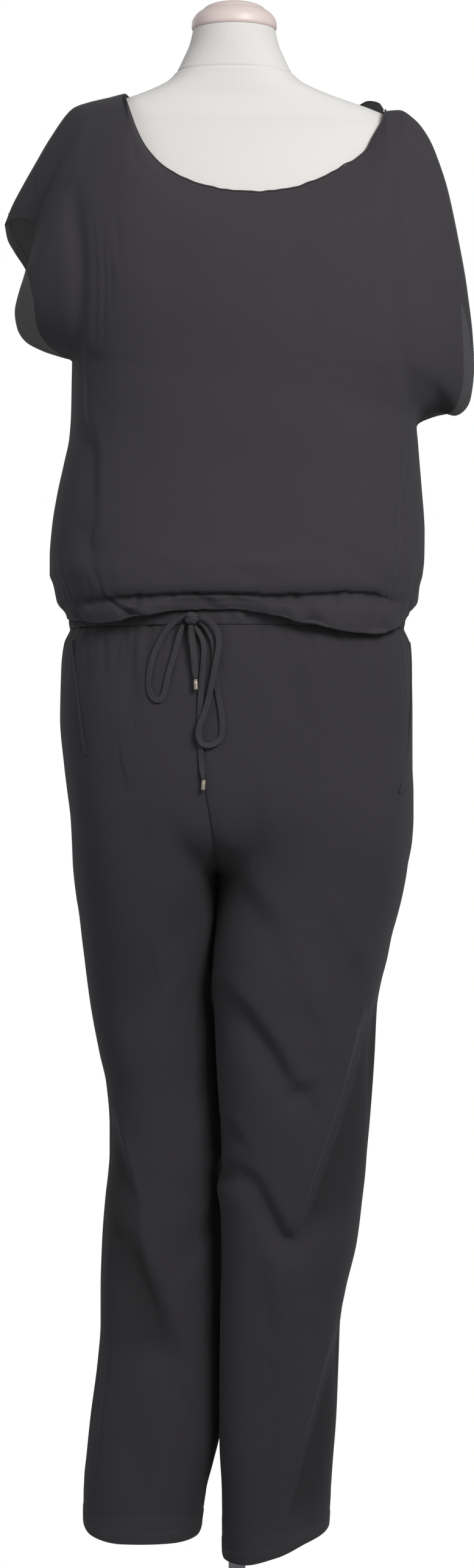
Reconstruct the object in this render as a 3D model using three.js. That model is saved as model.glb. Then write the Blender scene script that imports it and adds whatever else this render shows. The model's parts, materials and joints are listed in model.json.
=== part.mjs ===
// A jumpsuit worn by a dress form. Millimetres, X to the viewer's right, Y away from the viewer, Z up,
// the floor at Z = 0. Every sewn piece is a wall of cloth made from rings between a short table's rows.
import * as THREE from "three";
import { mergeVertices } from "three/addons/utils/BufferGeometryUtils.js";

const CLOTH = 1.5;          // wall of the cloth
const SEAM = 0.15;          // half of the gap at a seam
const { PI, sin, cos, sqrt, abs, min, max, exp, asin } = Math;
const group = new THREE.Group();
group.name = "jumpsuit";

// ---- helpers -------------------------------------------------------------------------------------
const mix = (a, b, t) => a + (b - a) * t;
const clamp = (x, a, b) => min(b, max(a, x));
const smooth = (a, b, x) => { const t = clamp((x - a) / (b - a), 0, 1); return t * t * (3 - 2 * t); };

// Smooth curve through one column of a table; the first column is the place. No overshoot.
function curve(rows, column) {
  const sorted = [...rows].sort((p, q) => p[0] - q[0]);
  const x = sorted.map((r) => r[0]), y = sorted.map((r) => r[column]), n = x.length;
  const s = x.slice(1).map((v, i) => (y[i + 1] - y[i]) / (v - x[i]));
  const m = y.map((_, i) => (i === 0 ? s[0] : i === n - 1 ? s[n - 2]
    : s[i - 1] * s[i] <= 0 ? 0 : (2 * s[i - 1] * s[i]) / (s[i - 1] + s[i])));
  return (at) => {
    const v = clamp(at, x[0], x[n - 1]);
    let i = 0;
    while (i < n - 2 && v > x[i + 1]) i += 1;
    const h = x[i + 1] - x[i], t = (v - x[i]) / h, a = 1 - t;
    return (1 + 2 * t) * a * a * y[i] + t * a * a * h * m[i]
      + t * t * (3 - 2 * t) * y[i + 1] - t * t * a * h * m[i + 1];
  };
}
const columns = (rows, names) => Object.fromEntries(names.map((name, i) => [name, curve(rows, i + 1)]));

// A closed mesh from points and quads, turned so that its faces look outward.
function solid(name, points, quads, colour, roughness = 0.85, metalness = 0) {
  const at = [], index = [];
  points.forEach((p) => at.push(...p));
  quads.forEach((q) => {
    index.push(q[0], q[1], q[2]);
    if (q.length === 4) index.push(q[0], q[2], q[3]);
  });
  let volume = 0;
  for (let i = 0; i < index.length; i += 3) {
    const [a, b, c] = [0, 1, 2].map((k) => new THREE.Vector3(...points[index[i + k]]));
    volume += a.dot(b.cross(c));
  }
  if (volume < 0) for (let i = 0; i < index.length; i += 3) [index[i], index[i + 1]] = [index[i + 1], index[i]];
  const shape = new THREE.BufferGeometry();
  shape.setAttribute("position", new THREE.Float32BufferAttribute(at, 3));
  shape.setIndex(index);
  add(name, shape, colour, roughness, metalness);
}
function add(name, shape, colour, roughness = 0.85, metalness = 0) {
  for (const extra of ["uv", "normal"]) shape.deleteAttribute(extra);
  const joined = mergeVertices(shape, 1e-4);
  joined.computeVertexNormals();
  const mesh = new THREE.Mesh(joined, new THREE.MeshStandardMaterial({ color: colour, roughness, metalness }));
  mesh.name = name;
  group.add(mesh);
}

// A wall of cloth. at(u, v) is its outer face, us and vs the places of its columns and rows.
// out is +1 or -1, so that the normal looks outward; keep(point) holds a point on its side of a seam.
function wall(name, at, us, vs, { thick = CLOTH, out = 1, ring = false, keep = (p) => p, colour = CLOTH_COLOUR } = {}) {
  const e = 1e-3, points = [], quads = [], nu = us.length, nv = vs.length;
  const normal = (u, v) => {
    const du = new THREE.Vector3(...at(ring ? u + e : min(u + e, us[nu - 1]), v))
      .sub(new THREE.Vector3(...at(ring ? u - e : max(u - e, us[0]), v)));
    const dv = new THREE.Vector3(...at(u, min(v + e, vs[nv - 1])))
      .sub(new THREE.Vector3(...at(u, max(v - e, vs[0]))));
    return du.cross(dv).normalize().multiplyScalar(out);
  };
  for (const v of vs) for (const u of us) points.push(keep(at(u, v), 0));
  for (const v of vs) for (const u of us) {
    const n = normal(u, v), p = at(u, v);
    points.push(keep([p[0] - n.x * thick, p[1] - n.y * thick, p[2] - n.z * thick], thick));
  }
  const id = (i, j, inner) => inner * nu * nv + j * nu + (ring ? i % nu : i);
  const across = ring ? nu : nu - 1;
  for (let j = 0; j < nv - 1; j += 1) for (let i = 0; i < across; i += 1) {
    quads.push([id(i, j, 0), id(i + 1, j, 0), id(i + 1, j + 1, 0), id(i, j + 1, 0)]);
    quads.push([id(i, j + 1, 1), id(i + 1, j + 1, 1), id(i + 1, j, 1), id(i, j, 1)]);
  }
  for (let i = 0; i < across; i += 1) {
    quads.push([id(i + 1, 0, 0), id(i, 0, 0), id(i, 0, 1), id(i + 1, 0, 1)]);
    quads.push([id(i, nv - 1, 0), id(i + 1, nv - 1, 0), id(i + 1, nv - 1, 1), id(i, nv - 1, 1)]);
  }
  if (!ring) for (let j = 0; j < nv - 1; j += 1) {
    quads.push([id(0, j, 0), id(0, j + 1, 0), id(0, j + 1, 1), id(0, j, 1)]);
    quads.push([id(nu - 1, j + 1, 0), id(nu - 1, j, 0), id(nu - 1, j, 1), id(nu - 1, j + 1, 1)]);
  }
  solid(name, points, quads, colour);
}
const steps = (a, b, n) => Array.from({ length: n + 1 }, (_, i) => mix(a, b, i / n));

// Soft folds: each is a line from x0,z0 to x1,z1, w wide, and depth deep (below zero is a trough).
function folds(table) {
  return (x, z) => table.reduce((sum, [x0, z0, x1, z1, w, depth]) => {
    const dx = x1 - x0, dz = z1 - z0, t = clamp(((x - x0) * dx + (z - z0) * dz) / (dx * dx + dz * dz), 0, 1);
    const d = Math.hypot(x - x0 - t * dx, z - z0 - t * dz);
    return sum + depth * exp(-((d / w) ** 2)) * (0.35 + 0.65 * sin(PI * clamp(t, 0.02, 0.98)));
  }, 0);
}

const CLOTH_COLOUR = 0x3c3a3e, LINEN = 0xdcdad6, CAP = 0xd9ccc8, STEEL = 0x8f9194, NICKEL = 0xb9b2a8;

// ---- the form ------------------------------------------------------------------------------------
// z, half width, depth in front, depth behind
const FORM = [
  [880, 148, 92, 98], [900, 160, 99, 108], [940, 171, 104, 117], [1000, 171, 104, 118], [1050, 166, 101, 113],
  [1100, 155, 97, 100], [1150, 134, 91, 86], [1200, 122, 89, 79], [1260, 130, 98, 80], [1340, 148, 112, 86],
  [1400, 156, 123, 90], [1440, 161, 127, 93], [1480, 167, 120, 95], [1520, 174, 104, 96], [1560, 180, 86, 93],
  [1600, 183, 65, 82], [1612, 180.5, 57, 76], [1620, 174.5, 51, 71], [1628, 163, 46.5, 65], [1636, 144.5, 43.5, 60],
  [1642, 127, 42, 57], [1648, 109, 41.5, 55], [1655, 91, 41.5, 53], [1664, 73, 41.5, 51.5], [1675, 61.5, 41.5, 50],
  [1690, 54, 42, 49], [1705, 47.5, 43, 47], [1719.7, 44, 43.5, 45],
];
const form = columns(FORM, ["wide", "front", "back"]);
const SIDES = 28;
function ring(z, wide, front, back, corner, x0 = 0, lean = 0) {
  return steps(0, 2 * PI, SIDES).slice(0, SIDES).map((a) => {
    const x = wide * cos(a) * (1 + corner * sin(a) ** 2);
    const y = (sin(a) < 0 ? front : back) * sin(a) * (1 + corner * cos(a) ** 2);
    return [x0 + x, y, z - lean * x];
  });
}
function loft(name, rings, colour) {
  const points = rings.flat(), quads = [], n = SIDES;
  for (let j = 0; j < rings.length - 1; j += 1) for (let i = 0; i < n; i += 1) {
    const k = (i + 1) % n;
    quads.push([j * n + i, j * n + k, (j + 1) * n + k, (j + 1) * n + i]);
  }
  for (const [j, flip] of [[0, true], [rings.length - 1, false]]) {
    const centre = rings[j].reduce((s, p) => s.map((v, k) => v + p[k] / n), [0, 0, 0]);
    points.push(centre);
    for (let i = 0; i < n; i += 1) {
      const f = [points.length - 1, j * n + i, j * n + ((i + 1) % n)];
      quads.push(flip ? [f[0], f[2], f[1]] : f);
    }
  }
  solid(name, points, quads, colour, 0.9);
}
const corner = (z) => 0.16 * (1 - smooth(1640, 1700, z));
// how far the form reaches toward or away from the viewer at x, z
function formDepth(x, z, front) {
  const q = Math.abs(x) / form.wide(clamp(z, 880, 1700));
  return q >= 1 ? 0 : form[front ? "front" : "back"](z) * sqrt(1 - q * q) * (1 + corner(z) * q * q);
}
const tilt = (z) => 0.012 * smooth(1300, 1600, z) * (1 - smooth(1650, 1719, z));
loft("form_torso", FORM.map(([z, w, f, b]) =>
  ring(z, w, f, b, corner(z), -3 * smooth(1640, 1680, z), tilt(z))), LINEN);
// the cap: height above the neck, share of the neck's width
const CAP_ROWS = [[0, 0.965], [3, 1], [9, 0.99], [16, 0.9], [22, 0.72], [27, 0.46], [29.5, 0.2]];
loft("form_neck_cap", CAP_ROWS.map(([h, s]) => ring(1720 + h, 45.5 * s, 45 * s, 46.5 * s, 0, -3)), CAP);
const lathe = (name, outline, colour, metalness) => {
  const shape = new THREE.LatheGeometry(outline.map(([r, z]) => new THREE.Vector2(r, z)), 28);
  shape.rotateX(PI / 2);
  add(name, shape, colour, 0.35, metalness);
};
lathe("form_pole", [[0, 10.3], [9, 10.3], [9, 879.7], [0, 879.7]], STEEL, 1);
lathe("form_base", [[0, 0], [158, 0], [160, 2], [160, 5], [156, 8], [24, 9], [22, 30], [20, 32], [9.5, 32],
  [9.5, 10], [0, 10]], STEEL, 1);

// ---- the bodice ----------------------------------------------------------------------------------
// Rows r: 0 is the overarm and neckline, 10 the underarm, 20 the crease over the waist, 22 the lowest edge of
// the loose roll, 24 where the cloth is sewn to the top of the casing. Columns c run from 0 on the left to 1.
// The top edge: c, x, y, z. The front and the back share the overarm and the shoulders.
const OVERARM_LEFT = [[0, -248, 0, 1513], [0.03, -240, 0, 1533], [0.06, -229, 0, 1554], [0.09, -216, 0, 1577],
  [0.12, -199, 0, 1606], [0.15, -177, 0, 1635], [0.18, -161, 0, 1641], [0.22, -138, 0, 1647], [0.26, -120, 0, 1652]];
const OVERARM_RIGHT = [[0.79, 158, 0, 1634], [0.82, 173, 0, 1635.5], [0.85, 189, 0, 1626], [0.88, 205, 0, 1605],
  [0.91, 217, 0, 1575], [0.94, 228, 0, 1528], [0.97, 236, 0, 1480], [1, 239, 0, 1434]];
const NECK_FRONT = [[0.27, -119, -26, 1645], [0.28, -114, -44, 1628], [0.30, -106, -59, 1604], [0.33, -96, -71, 1583], [0.37, -78, -84, 1561],
  [0.41, -56, -94, 1546], [0.45, -31, -101, 1536], [0.5, -3, -104.5, 1530.5], [0.54, 22, -105, 1529.3],
  [0.59, 52, -101, 1533], [0.64, 82, -93, 1543.5], [0.68, 104, -84, 1556], [0.71, 122, -75, 1568],
  [0.73, 136, -65, 1581], [0.75, 144, -53, 1598], [0.77, 153, -44, 1614], [0.78, 157, -31, 1628.5]];
const NECK_BACK = [[0.28, -116, 17, 1652], [0.32, -101, 44, 1646], [0.38, -70, 66, 1634], [0.45, -30, 77, 1627],
  [0.5, 0, 79, 1625], [0.57, 45, 77, 1627], [0.64, 85, 65, 1634], [0.70, 118, 45, 1642], [0.745, 140, 22, 1648],
  [0.77, 151, 9, 1644]];
// The left and right edges: r, x, y, z. A sleeve's hem down to row 10, the side seam below it.
const HEM_FRONT_LEFT = [[0, -248, 0, 1513], [0.6, -238, -9, 1517], [1.1, -226, -16, 1515], [1.7, -215, -23, 1505],
  [3, -218, -34, 1477], [4.5, -227, -38, 1445], [6, -235, -34, 1414], [6.8, -233, -27, 1399], [7.6, -225, -19, 1386],
  [8.6, -205, -9, 1376], [9.4, -188, -3, 1371], [10, -176, 0, 1367]];
const HEM_BACK_LEFT = [[0, -248, 0, 1513], [0.8, -246, 12, 1500], [1.7, -239, 22, 1487], [3, -227, 33, 1468],
  [4.5, -220, 38, 1440], [6, -216, 36, 1411], [7.5, -205, 24, 1389], [9, -188, 9, 1375], [10, -176, 0, 1367]];
const HEM_FRONT_RIGHT = [[0, 239, 0, 1434], [1, 243, -14, 1417], [2.5, 247.5, -26, 1389], [4.3, 251, -30, 1357],
  [6, 247.5, -26, 1324], [7, 240, -21, 1311], [7.7, 231, -17, 1307], [8.5, 216, -11, 1311], [9.3, 202, -5, 1309],
  [10, 191.7, 0, 1297]];
const HEM_BACK_RIGHT = [[0, 239, 0, 1434], [1, 240, 13, 1418], [2.5, 243, 25, 1391], [4.3, 244, 31, 1359],
  [6, 239, 28, 1330], [7.3, 228, 19, 1314], [8.6, 212, 9, 1309], [10, 191.7, 0, 1297]];
// r, x left, z left, x right, z right
const SIDE_SEAMS = [[11, -176.5, 1340, 193, 1281], [12, -177, 1313, 194.5, 1262], [13, -179, 1284, 196, 1244],
  [14, -184.5, 1256, 197.5, 1225], [15, -191.5, 1224, 199, 1206], [16, -197, 1190, 200, 1184],
  [17, -199.5, 1158, 199.7, 1158], [18, -199.5, 1139, 197.8, 1139], [19, -194.5, 1124, 194, 1124],
  [20, -186, 1111, 187, 1111], [21, -183, 1105, 184.5, 1105], [22, -181, 1100, 183, 1099.5],
  [23, -180, 1098, 181.5, 1098], [23.6, -179, 1097.3, 179.5, 1097.3], [24, -176, 1097.3, 176, 1097.3]];
const seams = (hem, x, z) => [...hem, ...SIDE_SEAMS.map((s) => [s[0], s[x], 0, s[z]])];
// r, y in front, y behind, z at the middle
const MIDDLE = [[0, -102, 78, 1470], [1, -111, 89, 1455], [2, -120, 96, 1441], [3, -127, 102, 1427], [5, -133, 107, 1398],
  [7, -136, 110, 1370], [10, -136, 112, 1327], [12, -136, 112, 1292], [14, -137, 114, 1250], [16, -142, 119, 1195],
  [17, -146, 123, 1162], [18, -150, 128, 1141], [19, -151, 130, 1124], [20, -145, 125, 1110], [21, -150, 129, 1100],
  [22, -147, 127, 1090], [23, -138.5, 122, 1094], [23.6, -136, 121.5, 1097.3], [24, -131.7, 117.2, 1097.3]];
// c, height of the crease, of the lowest edge of the roll; both uneven, as in the photograph
const ROLL_FRONT = [[0, 1111, 1100], [0.08, 1108, 1096], [0.155, 1104, 1091], [0.2, 1104, 1084.5], [0.25, 1105.5, 1081.5],
  [0.3, 1106.5, 1083], [0.36, 1108, 1090], [0.43, 1110, 1094.5], [0.5, 1110, 1094.5], [0.545, 1107.5, 1090],
  [0.6, 1109, 1080], [0.65, 1111.5, 1075], [0.7, 1113, 1071], [0.75, 1110, 1070], [0.81, 1106, 1076],
  [0.9, 1108, 1090], [1, 1111, 1099.5]];
const ROLL_BACK = [[0, 1111, 1100], [0.12, 1107, 1088], [0.25, 1106, 1078], [0.38, 1109, 1083], [0.5, 1112, 1076],
  [0.63, 1110, 1081], [0.78, 1106, 1074], [0.9, 1108, 1088], [1, 1111, 1099.5]];
const BODICE_FOLDS = folds([[-172, 1537, -163, 1451, 11, -5], [-163, 1451, -166, 1376, 10, -5],
  [193, 1600, 172, 1537, 12, -5], [172, 1537, 165, 1450, 12, -6], [165, 1410, 184, 1300, 12, -5],
  [-163, 1370, -158, 1300, 9, 3], [-166, 1190, -152, 1152, 14, -3], [184, 1290, 176, 1205, 11, -4],
  [176, 1200, 166, 1130, 12, -3], [-75, 1490, -68, 1400, 20, -2.5], [62, 1470, 74, 1360, 24, -3],
  [10, 1240, 20, 1160, 26, -3]]);
const BACK_FOLDS = folds([[-165, 1520, -156, 1390, 12, -5], [168, 1500, 160, 1340, 13, -5], [-60, 1560, -40, 1420, 24, -3],
  [70, 1540, 50, 1330, 26, -3], [-90, 1250, -70, 1150, 22, -3], [60, 1240, 95, 1160, 24, -3]]);

function bodice(front) {
  const top = columns([...OVERARM_LEFT, ...(front ? NECK_FRONT : NECK_BACK), ...OVERARM_RIGHT], ["x", "y", "z"]);
  const left = columns(seams(front ? HEM_FRONT_LEFT : HEM_BACK_LEFT, 1, 2), ["x", "y", "z"]);
  const right = columns(seams(front ? HEM_FRONT_RIGHT : HEM_BACK_RIGHT, 3, 4), ["x", "y", "z"]);
  const middle = columns(MIDDLE, ["front", "back", "z"]);
  const roll = columns(front ? ROLL_FRONT : ROLL_BACK, ["crease", "edge"]);
  const fold = front ? BODICE_FOLDS : BACK_FOLDS;
  const row = (c, r) => {
    const a = PI * (1 - c), k = 0.22, s = (1 + cos(a)) / 2, fall = smooth(0, 10, r);
    // the body narrows evenly to the underarm, and a sleeve's hem leaves that line only near the hem
    const xl = r < 10 ? mix(left.x(0), left.x(10), fall) : left.x(r);
    const xr = r < 10 ? mix(right.x(0), right.x(10), fall) : right.x(r);
    const x = (xl + xr) / 2 + ((xr - xl) / 2) * cos(a) * (1 + k * sin(a) ** 2)
      + (left.x(r) - xl) * (1 - s) ** 8 + (right.x(r) - xr) * s ** 8;
    const y = left.y(r) * (1 - s) ** 5 + right.y(r) * s ** 5 + middle[front ? "front" : "back"](r) * sin(a) * (1 + k * cos(a) ** 2);
    let z = mix(left.z(r), right.z(r), s) + (middle.z(r) - (left.z(r) + right.z(r)) / 2) * sin(a) ** 2;
    if (r > 19) {                      // crease, roll, and back up to the casing
      const crease = roll.crease(c), edge = roll.edge(c), end = 1097.3;
      z = r < 20 ? mix(z, crease, r - 19) : r < 22 ? mix(crease, edge, (r - 20) / 2)
        : mix(edge, end, r < 23 ? 0.6 * (r - 22) : min(1, 0.6 + (r - 23) * 0.6667));
    }
    return [x, y, z];
  };
  return (c, r) => {
    const p = row(c, r), t = min(1, r / 10);
    if (t < 1) {
      const q = row(c, 0), wide = (1 - t ** 1.5) ** 1.5, deep = (1 - t) ** (front ? 3.5 : 4.5);
      p[0] += wide * (top.x(c) - q[0]);
      p[1] += deep * (top.y(c) - q[1]);
      p[2] += wide * (top.z(c) - q[2]);
    }
    const calm = smooth(0, 0.05, c) * (1 - smooth(0.95, 1, c)) * smooth(0, 1.5, r) * (1 - smooth(18, 19.5, r));
    // beside the knot the cloth runs straight into the casing, with hardly a roll
    if (front) p[1] += 9 * smooth(0.36, 0.42, c) * (1 - smooth(0.5, 0.57, c)) * smooth(20, 21, r) * (1 - smooth(22.2, 23.4, r));
    p[1] += (front ? -1 : 1) * (calm * fold(p[0], p[2]) + SEAM);
    if (r > 0.1) {                     // the cloth lies on the form and doesn't go into it
      const form = formDepth(p[0], p[2] + 0.012 * p[0] - (front ? 3 : 6), front);
      const near = form + mix(front ? 5 : 10, front ? 2.5 : 4, smooth(1, 6, r)), y = abs(p[1]);
      p[1] = (front ? -1 : 1) * mix(y, (y + near + sqrt((y - near) ** 2 + mix(2, 60, smooth(0, 3, r)))) / 2, smooth(0, 14, form));
    }
    return p;
  };
}
const onSide = (front) => (p) => [p[0], front ? min(p[1], -SEAM) : max(p[1], SEAM), p[2]];
const BODICE_COLUMNS = [0, 0.03, 0.07, 0.11, 0.15, 0.19, 0.23, 0.26, 0.27, 0.285, 0.32, 0.37, 0.43, 0.5, 0.57, 0.63,
  0.68, 0.72, 0.75, 0.77, 0.78, 0.79, 0.82, 0.85, 0.89, 0.93, 0.97, 1];
const BODICE_ROWS = [0, 0.25, 0.6, 1.3, 2.1, 3, 4.2, 5.5, 6.8, 8.2, 10, 11.6, 13.4, 15.4, 17.3, 18.4, 19.2, 20, 20.6, 21.3, 22,
  22.7, 23.6, 24];
for (const front of [true, false]) {
  wall(front ? "bodice_front" : "bodice_back", bodice(front), BODICE_COLUMNS, BODICE_ROWS,
    { out: front ? -1 : 1, keep: onSide(front) });
}

// ---- the waist -----------------------------------------------------------------------------------
const WAIST = { wide: 178, front: 133.3, back: 118.9, top: 1097, foot: 1080, corner: 0.2 };
const waistRing = (a, grow) => [
  (WAIST.wide + grow) * cos(a) * (1 + WAIST.corner * sin(a) ** 2),
  ((sin(a) < 0 ? WAIST.front : WAIST.back) + grow) * sin(a) * (1 + WAIST.corner * cos(a) ** 2)];
const PLEATS = 28;
wall("waist_casing", (u, v) => {
  const a = u * 2 * PI, swell = 1.1 * sin(PI * clamp(v, 0, 1)) * (0.6 + 0.4 * cos(a * PLEATS));
  return [...waistRing(a, swell - 0.2), mix(WAIST.top, WAIST.foot, v)];
}, steps(0, 1, 56).slice(0, 56), steps(0, 1, 2), { thick: 2, out: -1, ring: true });

// ---- the trousers --------------------------------------------------------------------------------
// Heights, and the half of a leg's ring at each: x of the outer side, x and y of the inner side (the seam between
// the legs), and how deep the ring is in front and behind.
// z, outer x, y of the outer seam, inner x in front, inner x behind, y of the inner seam, front, back
const LEG_RIGHT = [
  [1079.7, 178, 0, -45, 10, 0, 133.3, 118.9], [1065, 184, 0, -44, 9, 0, 135, 122], [1038, 186, 0, -42, 7, 0, 136.5, 127],
  [986, 187, 0, -39, 2, 0, 137, 133], [934, 187, 0, -36, -4, 0, 136, 136], [907, 188, 0, -33, -8, 0, 134, 136],
  [882, 188, 0, -28.5, -12, 0, 131, 135], [855, 186.5, 0, -25, -16, 0, 127, 132], [830, 182, 0, -21, -19, 0, 121, 126],
  [818, 180.3, 0, -20.3, -20.3, 0, 118.6, 123.3], [796, 176.2, 0, -20, -20, -13, 113.2, 117.3], [776, 171.5, 0, -21, -21, -22, 109, 112], [752, 165, 0, -23.5, -23.5, -27, 105, 107],
  [726, 160, 0, -25.5, -25.5, -30, 101, 103], [700, 153.5, 0, -27, -27, -31, 97, 100], [674, 149.5, 0, -24, -24, -31, 93, 97],
  [622, 147, 0, -21.5, -21.5, -32, 86, 92], [590, 145, 0, -19, -19, -32, 82, 88], [544, 141.5, 0, -16.5, -16.5, -31, 78, 84],
  [511, 138.5, 0, -16, -16, -30, 75, 81], [490, 137, 0, -21, -21, -30, 73, 79], [463, 134, 0, -17, -17, -29, 71, 77],
  [414, 128, 0, -16, -16, -28, 68, 74], [362, 116, 0, -17.5, -17.5, -26, 64, 71], [325, 110, 0, -18, -18, -24, 61, 69],
  [284, 108.5, 0, -18.5, -18.5, -22, 59, 67], [220, 106, 0, -18.5, -18.5, -19, 57, 65], [167, 102, 0, -16, -16, -14, 56, 63],
  [120, 99, 0, -15.5, -15.5, -10, 56, 61], [85, 97, 0, -15, -15, -8, 56, 60]];
const LEG_LEFT = [
  [1079.7, -178, 0, -45, 10, 0, 133.3, 118.9], [1065, -184.5, 0, -44, 9, 0, 135, 122], [1038, -187.5, 0, -42, 7, 0, 136.5, 127],
  [986, -188.5, 0, -39, 2, 0, 137, 133], [934, -184, 0, -36, -4, 0, 136, 136], [907, -180.7, 0, -33, -8, 0, 134, 136],
  [882, -177.5, 0, -28.5, -12, 0, 131, 135], [855, -176, 0, -25, -16, 0, 127, 132], [830, -175, 0, -21, -19, 0, 121, 126],
  [818, -174, 0, -20.3, -20.3, 0, 118.6, 123.3], [796, -171.5, 1, -20, -20, 14, 113.2, 117.3], [776, -168.5, 4, -20.3, -20.3, 24, 109, 112], [752, -166, 8, -21.5, -21.5, 30, 105, 107],
  [726, -163, 11, -22.5, -22.5, 35, 101, 103], [700, -160, 13, -22.5, -22.5, 36, 97, 100], [674, -156.5, 14, -20.5, -20.5, 36, 94, 97],
  [622, -147, 14, -17.5, -17.5, 36, 88, 92], [590, -140, 14, -15.5, -15.5, 36, 84, 88], [544, -136.5, 14, -12.5, -12.5, 36, 80, 84],
  [511, -136.5, 13, -12.5, -12.5, 35, 77, 81], [490, -138, 13, -14, -14, 35, 75, 79], [463, -141, 12, -13.5, -13.5, 34, 73, 77],
  [414, -144.5, 11, -13, -13, 33, 70, 74], [362, -146, 10, -13, -13, 31, 66, 71], [325, -146, 10, -13, -13, 29, 63, 69],
  [284, -149, 9, -13.5, -13.5, 26, 61, 67], [220, -157, 8, -17, -17, 21, 59, 65], [180, -161, 8, -26, -26, 17, 58, 63],
  [154, -163.5, 8, -33, -33, 13, 57, 62], [120, -164, 8, -38, -38, 11, 56, 61]];
// The hem is uneven: share of the way from the inner seam to the outer one, height in front, height behind
const HEM_RIGHT = [[0, 101, 103], [0.12, 95, 101], [0.3, 94, 100], [0.5, 103, 104], [0.68, 117, 112], [0.85, 124, 120], [1, 129, 129]];
const HEM_LEFT = [[0, 127, 128], [0.15, 117, 124], [0.35, 114, 121], [0.6, 114, 120], [0.8, 119, 123], [0.93, 127, 128], [1, 134, 134]];
const FORK = { top: 945, saddle: 820 };
const LEG_NAMES = ["outX", "outY", "inFront", "inBack", "inY", "front", "back"];
// Gathers under the casing and the main folds of each leg
const LEG_FOLDS = folds([
  [-19, 703, 33, 638, 13, -4], [33, 638, 72, 590, 11, -3], [-4, 806, 36, 752, 16, -4],
  [-14, 508, 14, 500, 9, -4], [14, 500, 46, 440, 10, -6], [46, 440, 66, 437, 9, -5], [66, 437, 80, 505, 10, -6],
  [80, 505, 122, 620, 12, -6], [122, 620, 142, 680, 14, -4], [108, 330, 84, 240, 14, -4], [84, 240, 58, 165, 12, -3],
  [-134, 566, -107, 470, 14, -5], [-118, 430, -66, 300, 20, -5], [-140, 330, -155, 190, 8, 3],
  [-120, 1060, -112, 980, 16, 3], [-85, 1060, -92, 960, 18, -3], [60, 1062, 64, 950, 20, 3], [118, 1062, 110, 990, 16, -3],
  [10, 1060, 6, 1000, 14, -2.5], [110, 900, 100, 780, 26, -4], [-110, 900, -90, 760, 26, -4]]);
const SEAT_FOLDS = folds([[-90, 900, -50, 820, 20, -5], [80, 905, 40, 815, 20, -5], [-100, 760, -70, 640, 20, -4],
  [110, 740, 50, 640, 18, -4], [30, 540, 100, 470, 16, -5], [-60, 500, -130, 430, 16, -5], [-90, 330, -60, 210, 16, -4],
  [90, 360, 50, 230, 16, -4], [-70, 1060, -80, 960, 18, -3], [70, 1060, 90, 960, 18, 3]]);

function leg(side, front) {
  const t = columns(side > 0 ? LEG_RIGHT : LEG_LEFT, LEG_NAMES);
  const hem = columns(side > 0 ? HEM_RIGHT : HEM_LEFT, ["front", "back"])[front ? "front" : "back"];
  const fold = front ? LEG_FOLDS : SEAT_FOLDS;
  // rows v: 0 to 1 the hips, 1 to 2 round the fork, 2 to 3 the leg; columns u: 0 the inner seam, 1 the outer seam
  return (u, v) => {
    const w = clamp(v - 1, 0, 1), turn = (PI / 2) * smooth(0, 1, w);
    const inner = v < 1 ? mix(1079.7, FORK.top, v) : mix(FORK.saddle, FORK.top, (1 - w) ** 2.4);
    const outer = v < 1 ? inner : mix(FORK.top, FORK.saddle, w);
    const waistX = front ? -45 : 10;
    const start = PI / 2 + (v < 1 ? asin((-side * waistX) / WAIST.wide) * smooth(FORK.top, 1079.7, inner) : turn);
    const a = start * (1 - u), corner = 0.2 * mix(1, 0.4, smooth(0, 1, w));
    const across = cos(a) * (1 + corner * sin(a) ** 2);
    const edge = cos(start) * (1 + corner * sin(start) ** 2);
    const s = (across - edge) / (1 - edge);
    // the widths and depths are those of the height that the point is at; on the leg, of its row
    const z = v > 2 ? mix(FORK.saddle, hem(u), v - 2) : mix(inner, outer, smooth(0, 1, s));
    const at = v > 2 ? mix(FORK.saddle, hem(0.5), v - 2) : z;
    const inX = (front ? t.inFront(at) : t.inBack(at)) + side * SEAM;
    const deep = (front ? -1 : 1) * (front ? t.front(at) : t.back(at));
    const x = mix(inX, t.outX(at), s);
    const mid = ((t.inY(at) + t.outY(at)) / 2) * (1 - smooth(660, 820, at));
    let y = mid + (t.inY(at) - mid) * (1 - s) ** 3 + (t.outY(at) - mid) * s ** 3 + deep * sin(a) * (1 + corner * cos(a) ** 2);
    const calm = smooth(0, 0.12, u) * (1 - smooth(0.9, 1, u)) * smooth(0.02, 0.2, v);
    const gather = 0.9 * cos(2 * PI * 6 * u) * (1 - smooth(0, 0.3, v)) * smooth(0, 0.04, v);
    y += (front ? -1 : 1) * (calm * fold(x, z) + gather * sin(a) + SEAM);
    return [x, y, z];
  };
}
const LEG_COLUMNS = steps(0, 1, 12);
const LEG_ROWS = [...steps(0, 1, 6), ...steps(1, 2, 7).slice(1), ...steps(2, 3, 16).slice(1)];
const PARTING = 2 + 4.5 / 16;
for (const side of [-1, 1]) for (const front of [true, false]) {
  // a panel is one piece of cloth; its solid is in two lengths, so that simple hulls can follow the hollow in each
  const name = `trouser_${front ? "front" : "back"}_${side < 0 ? "left" : "right"}`, out = side * (front ? -1 : 1);
  wall(name, leg(side, front), LEG_COLUMNS, [...LEG_ROWS.filter((v) => v < PARTING - 0.01), PARTING - 0.0003], { out });
  wall(`${name}_lower`, leg(side, front), LEG_COLUMNS, [PARTING + 0.0003, ...LEG_ROWS.filter((v) => v > PARTING + 0.01)], { out });
}

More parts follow.
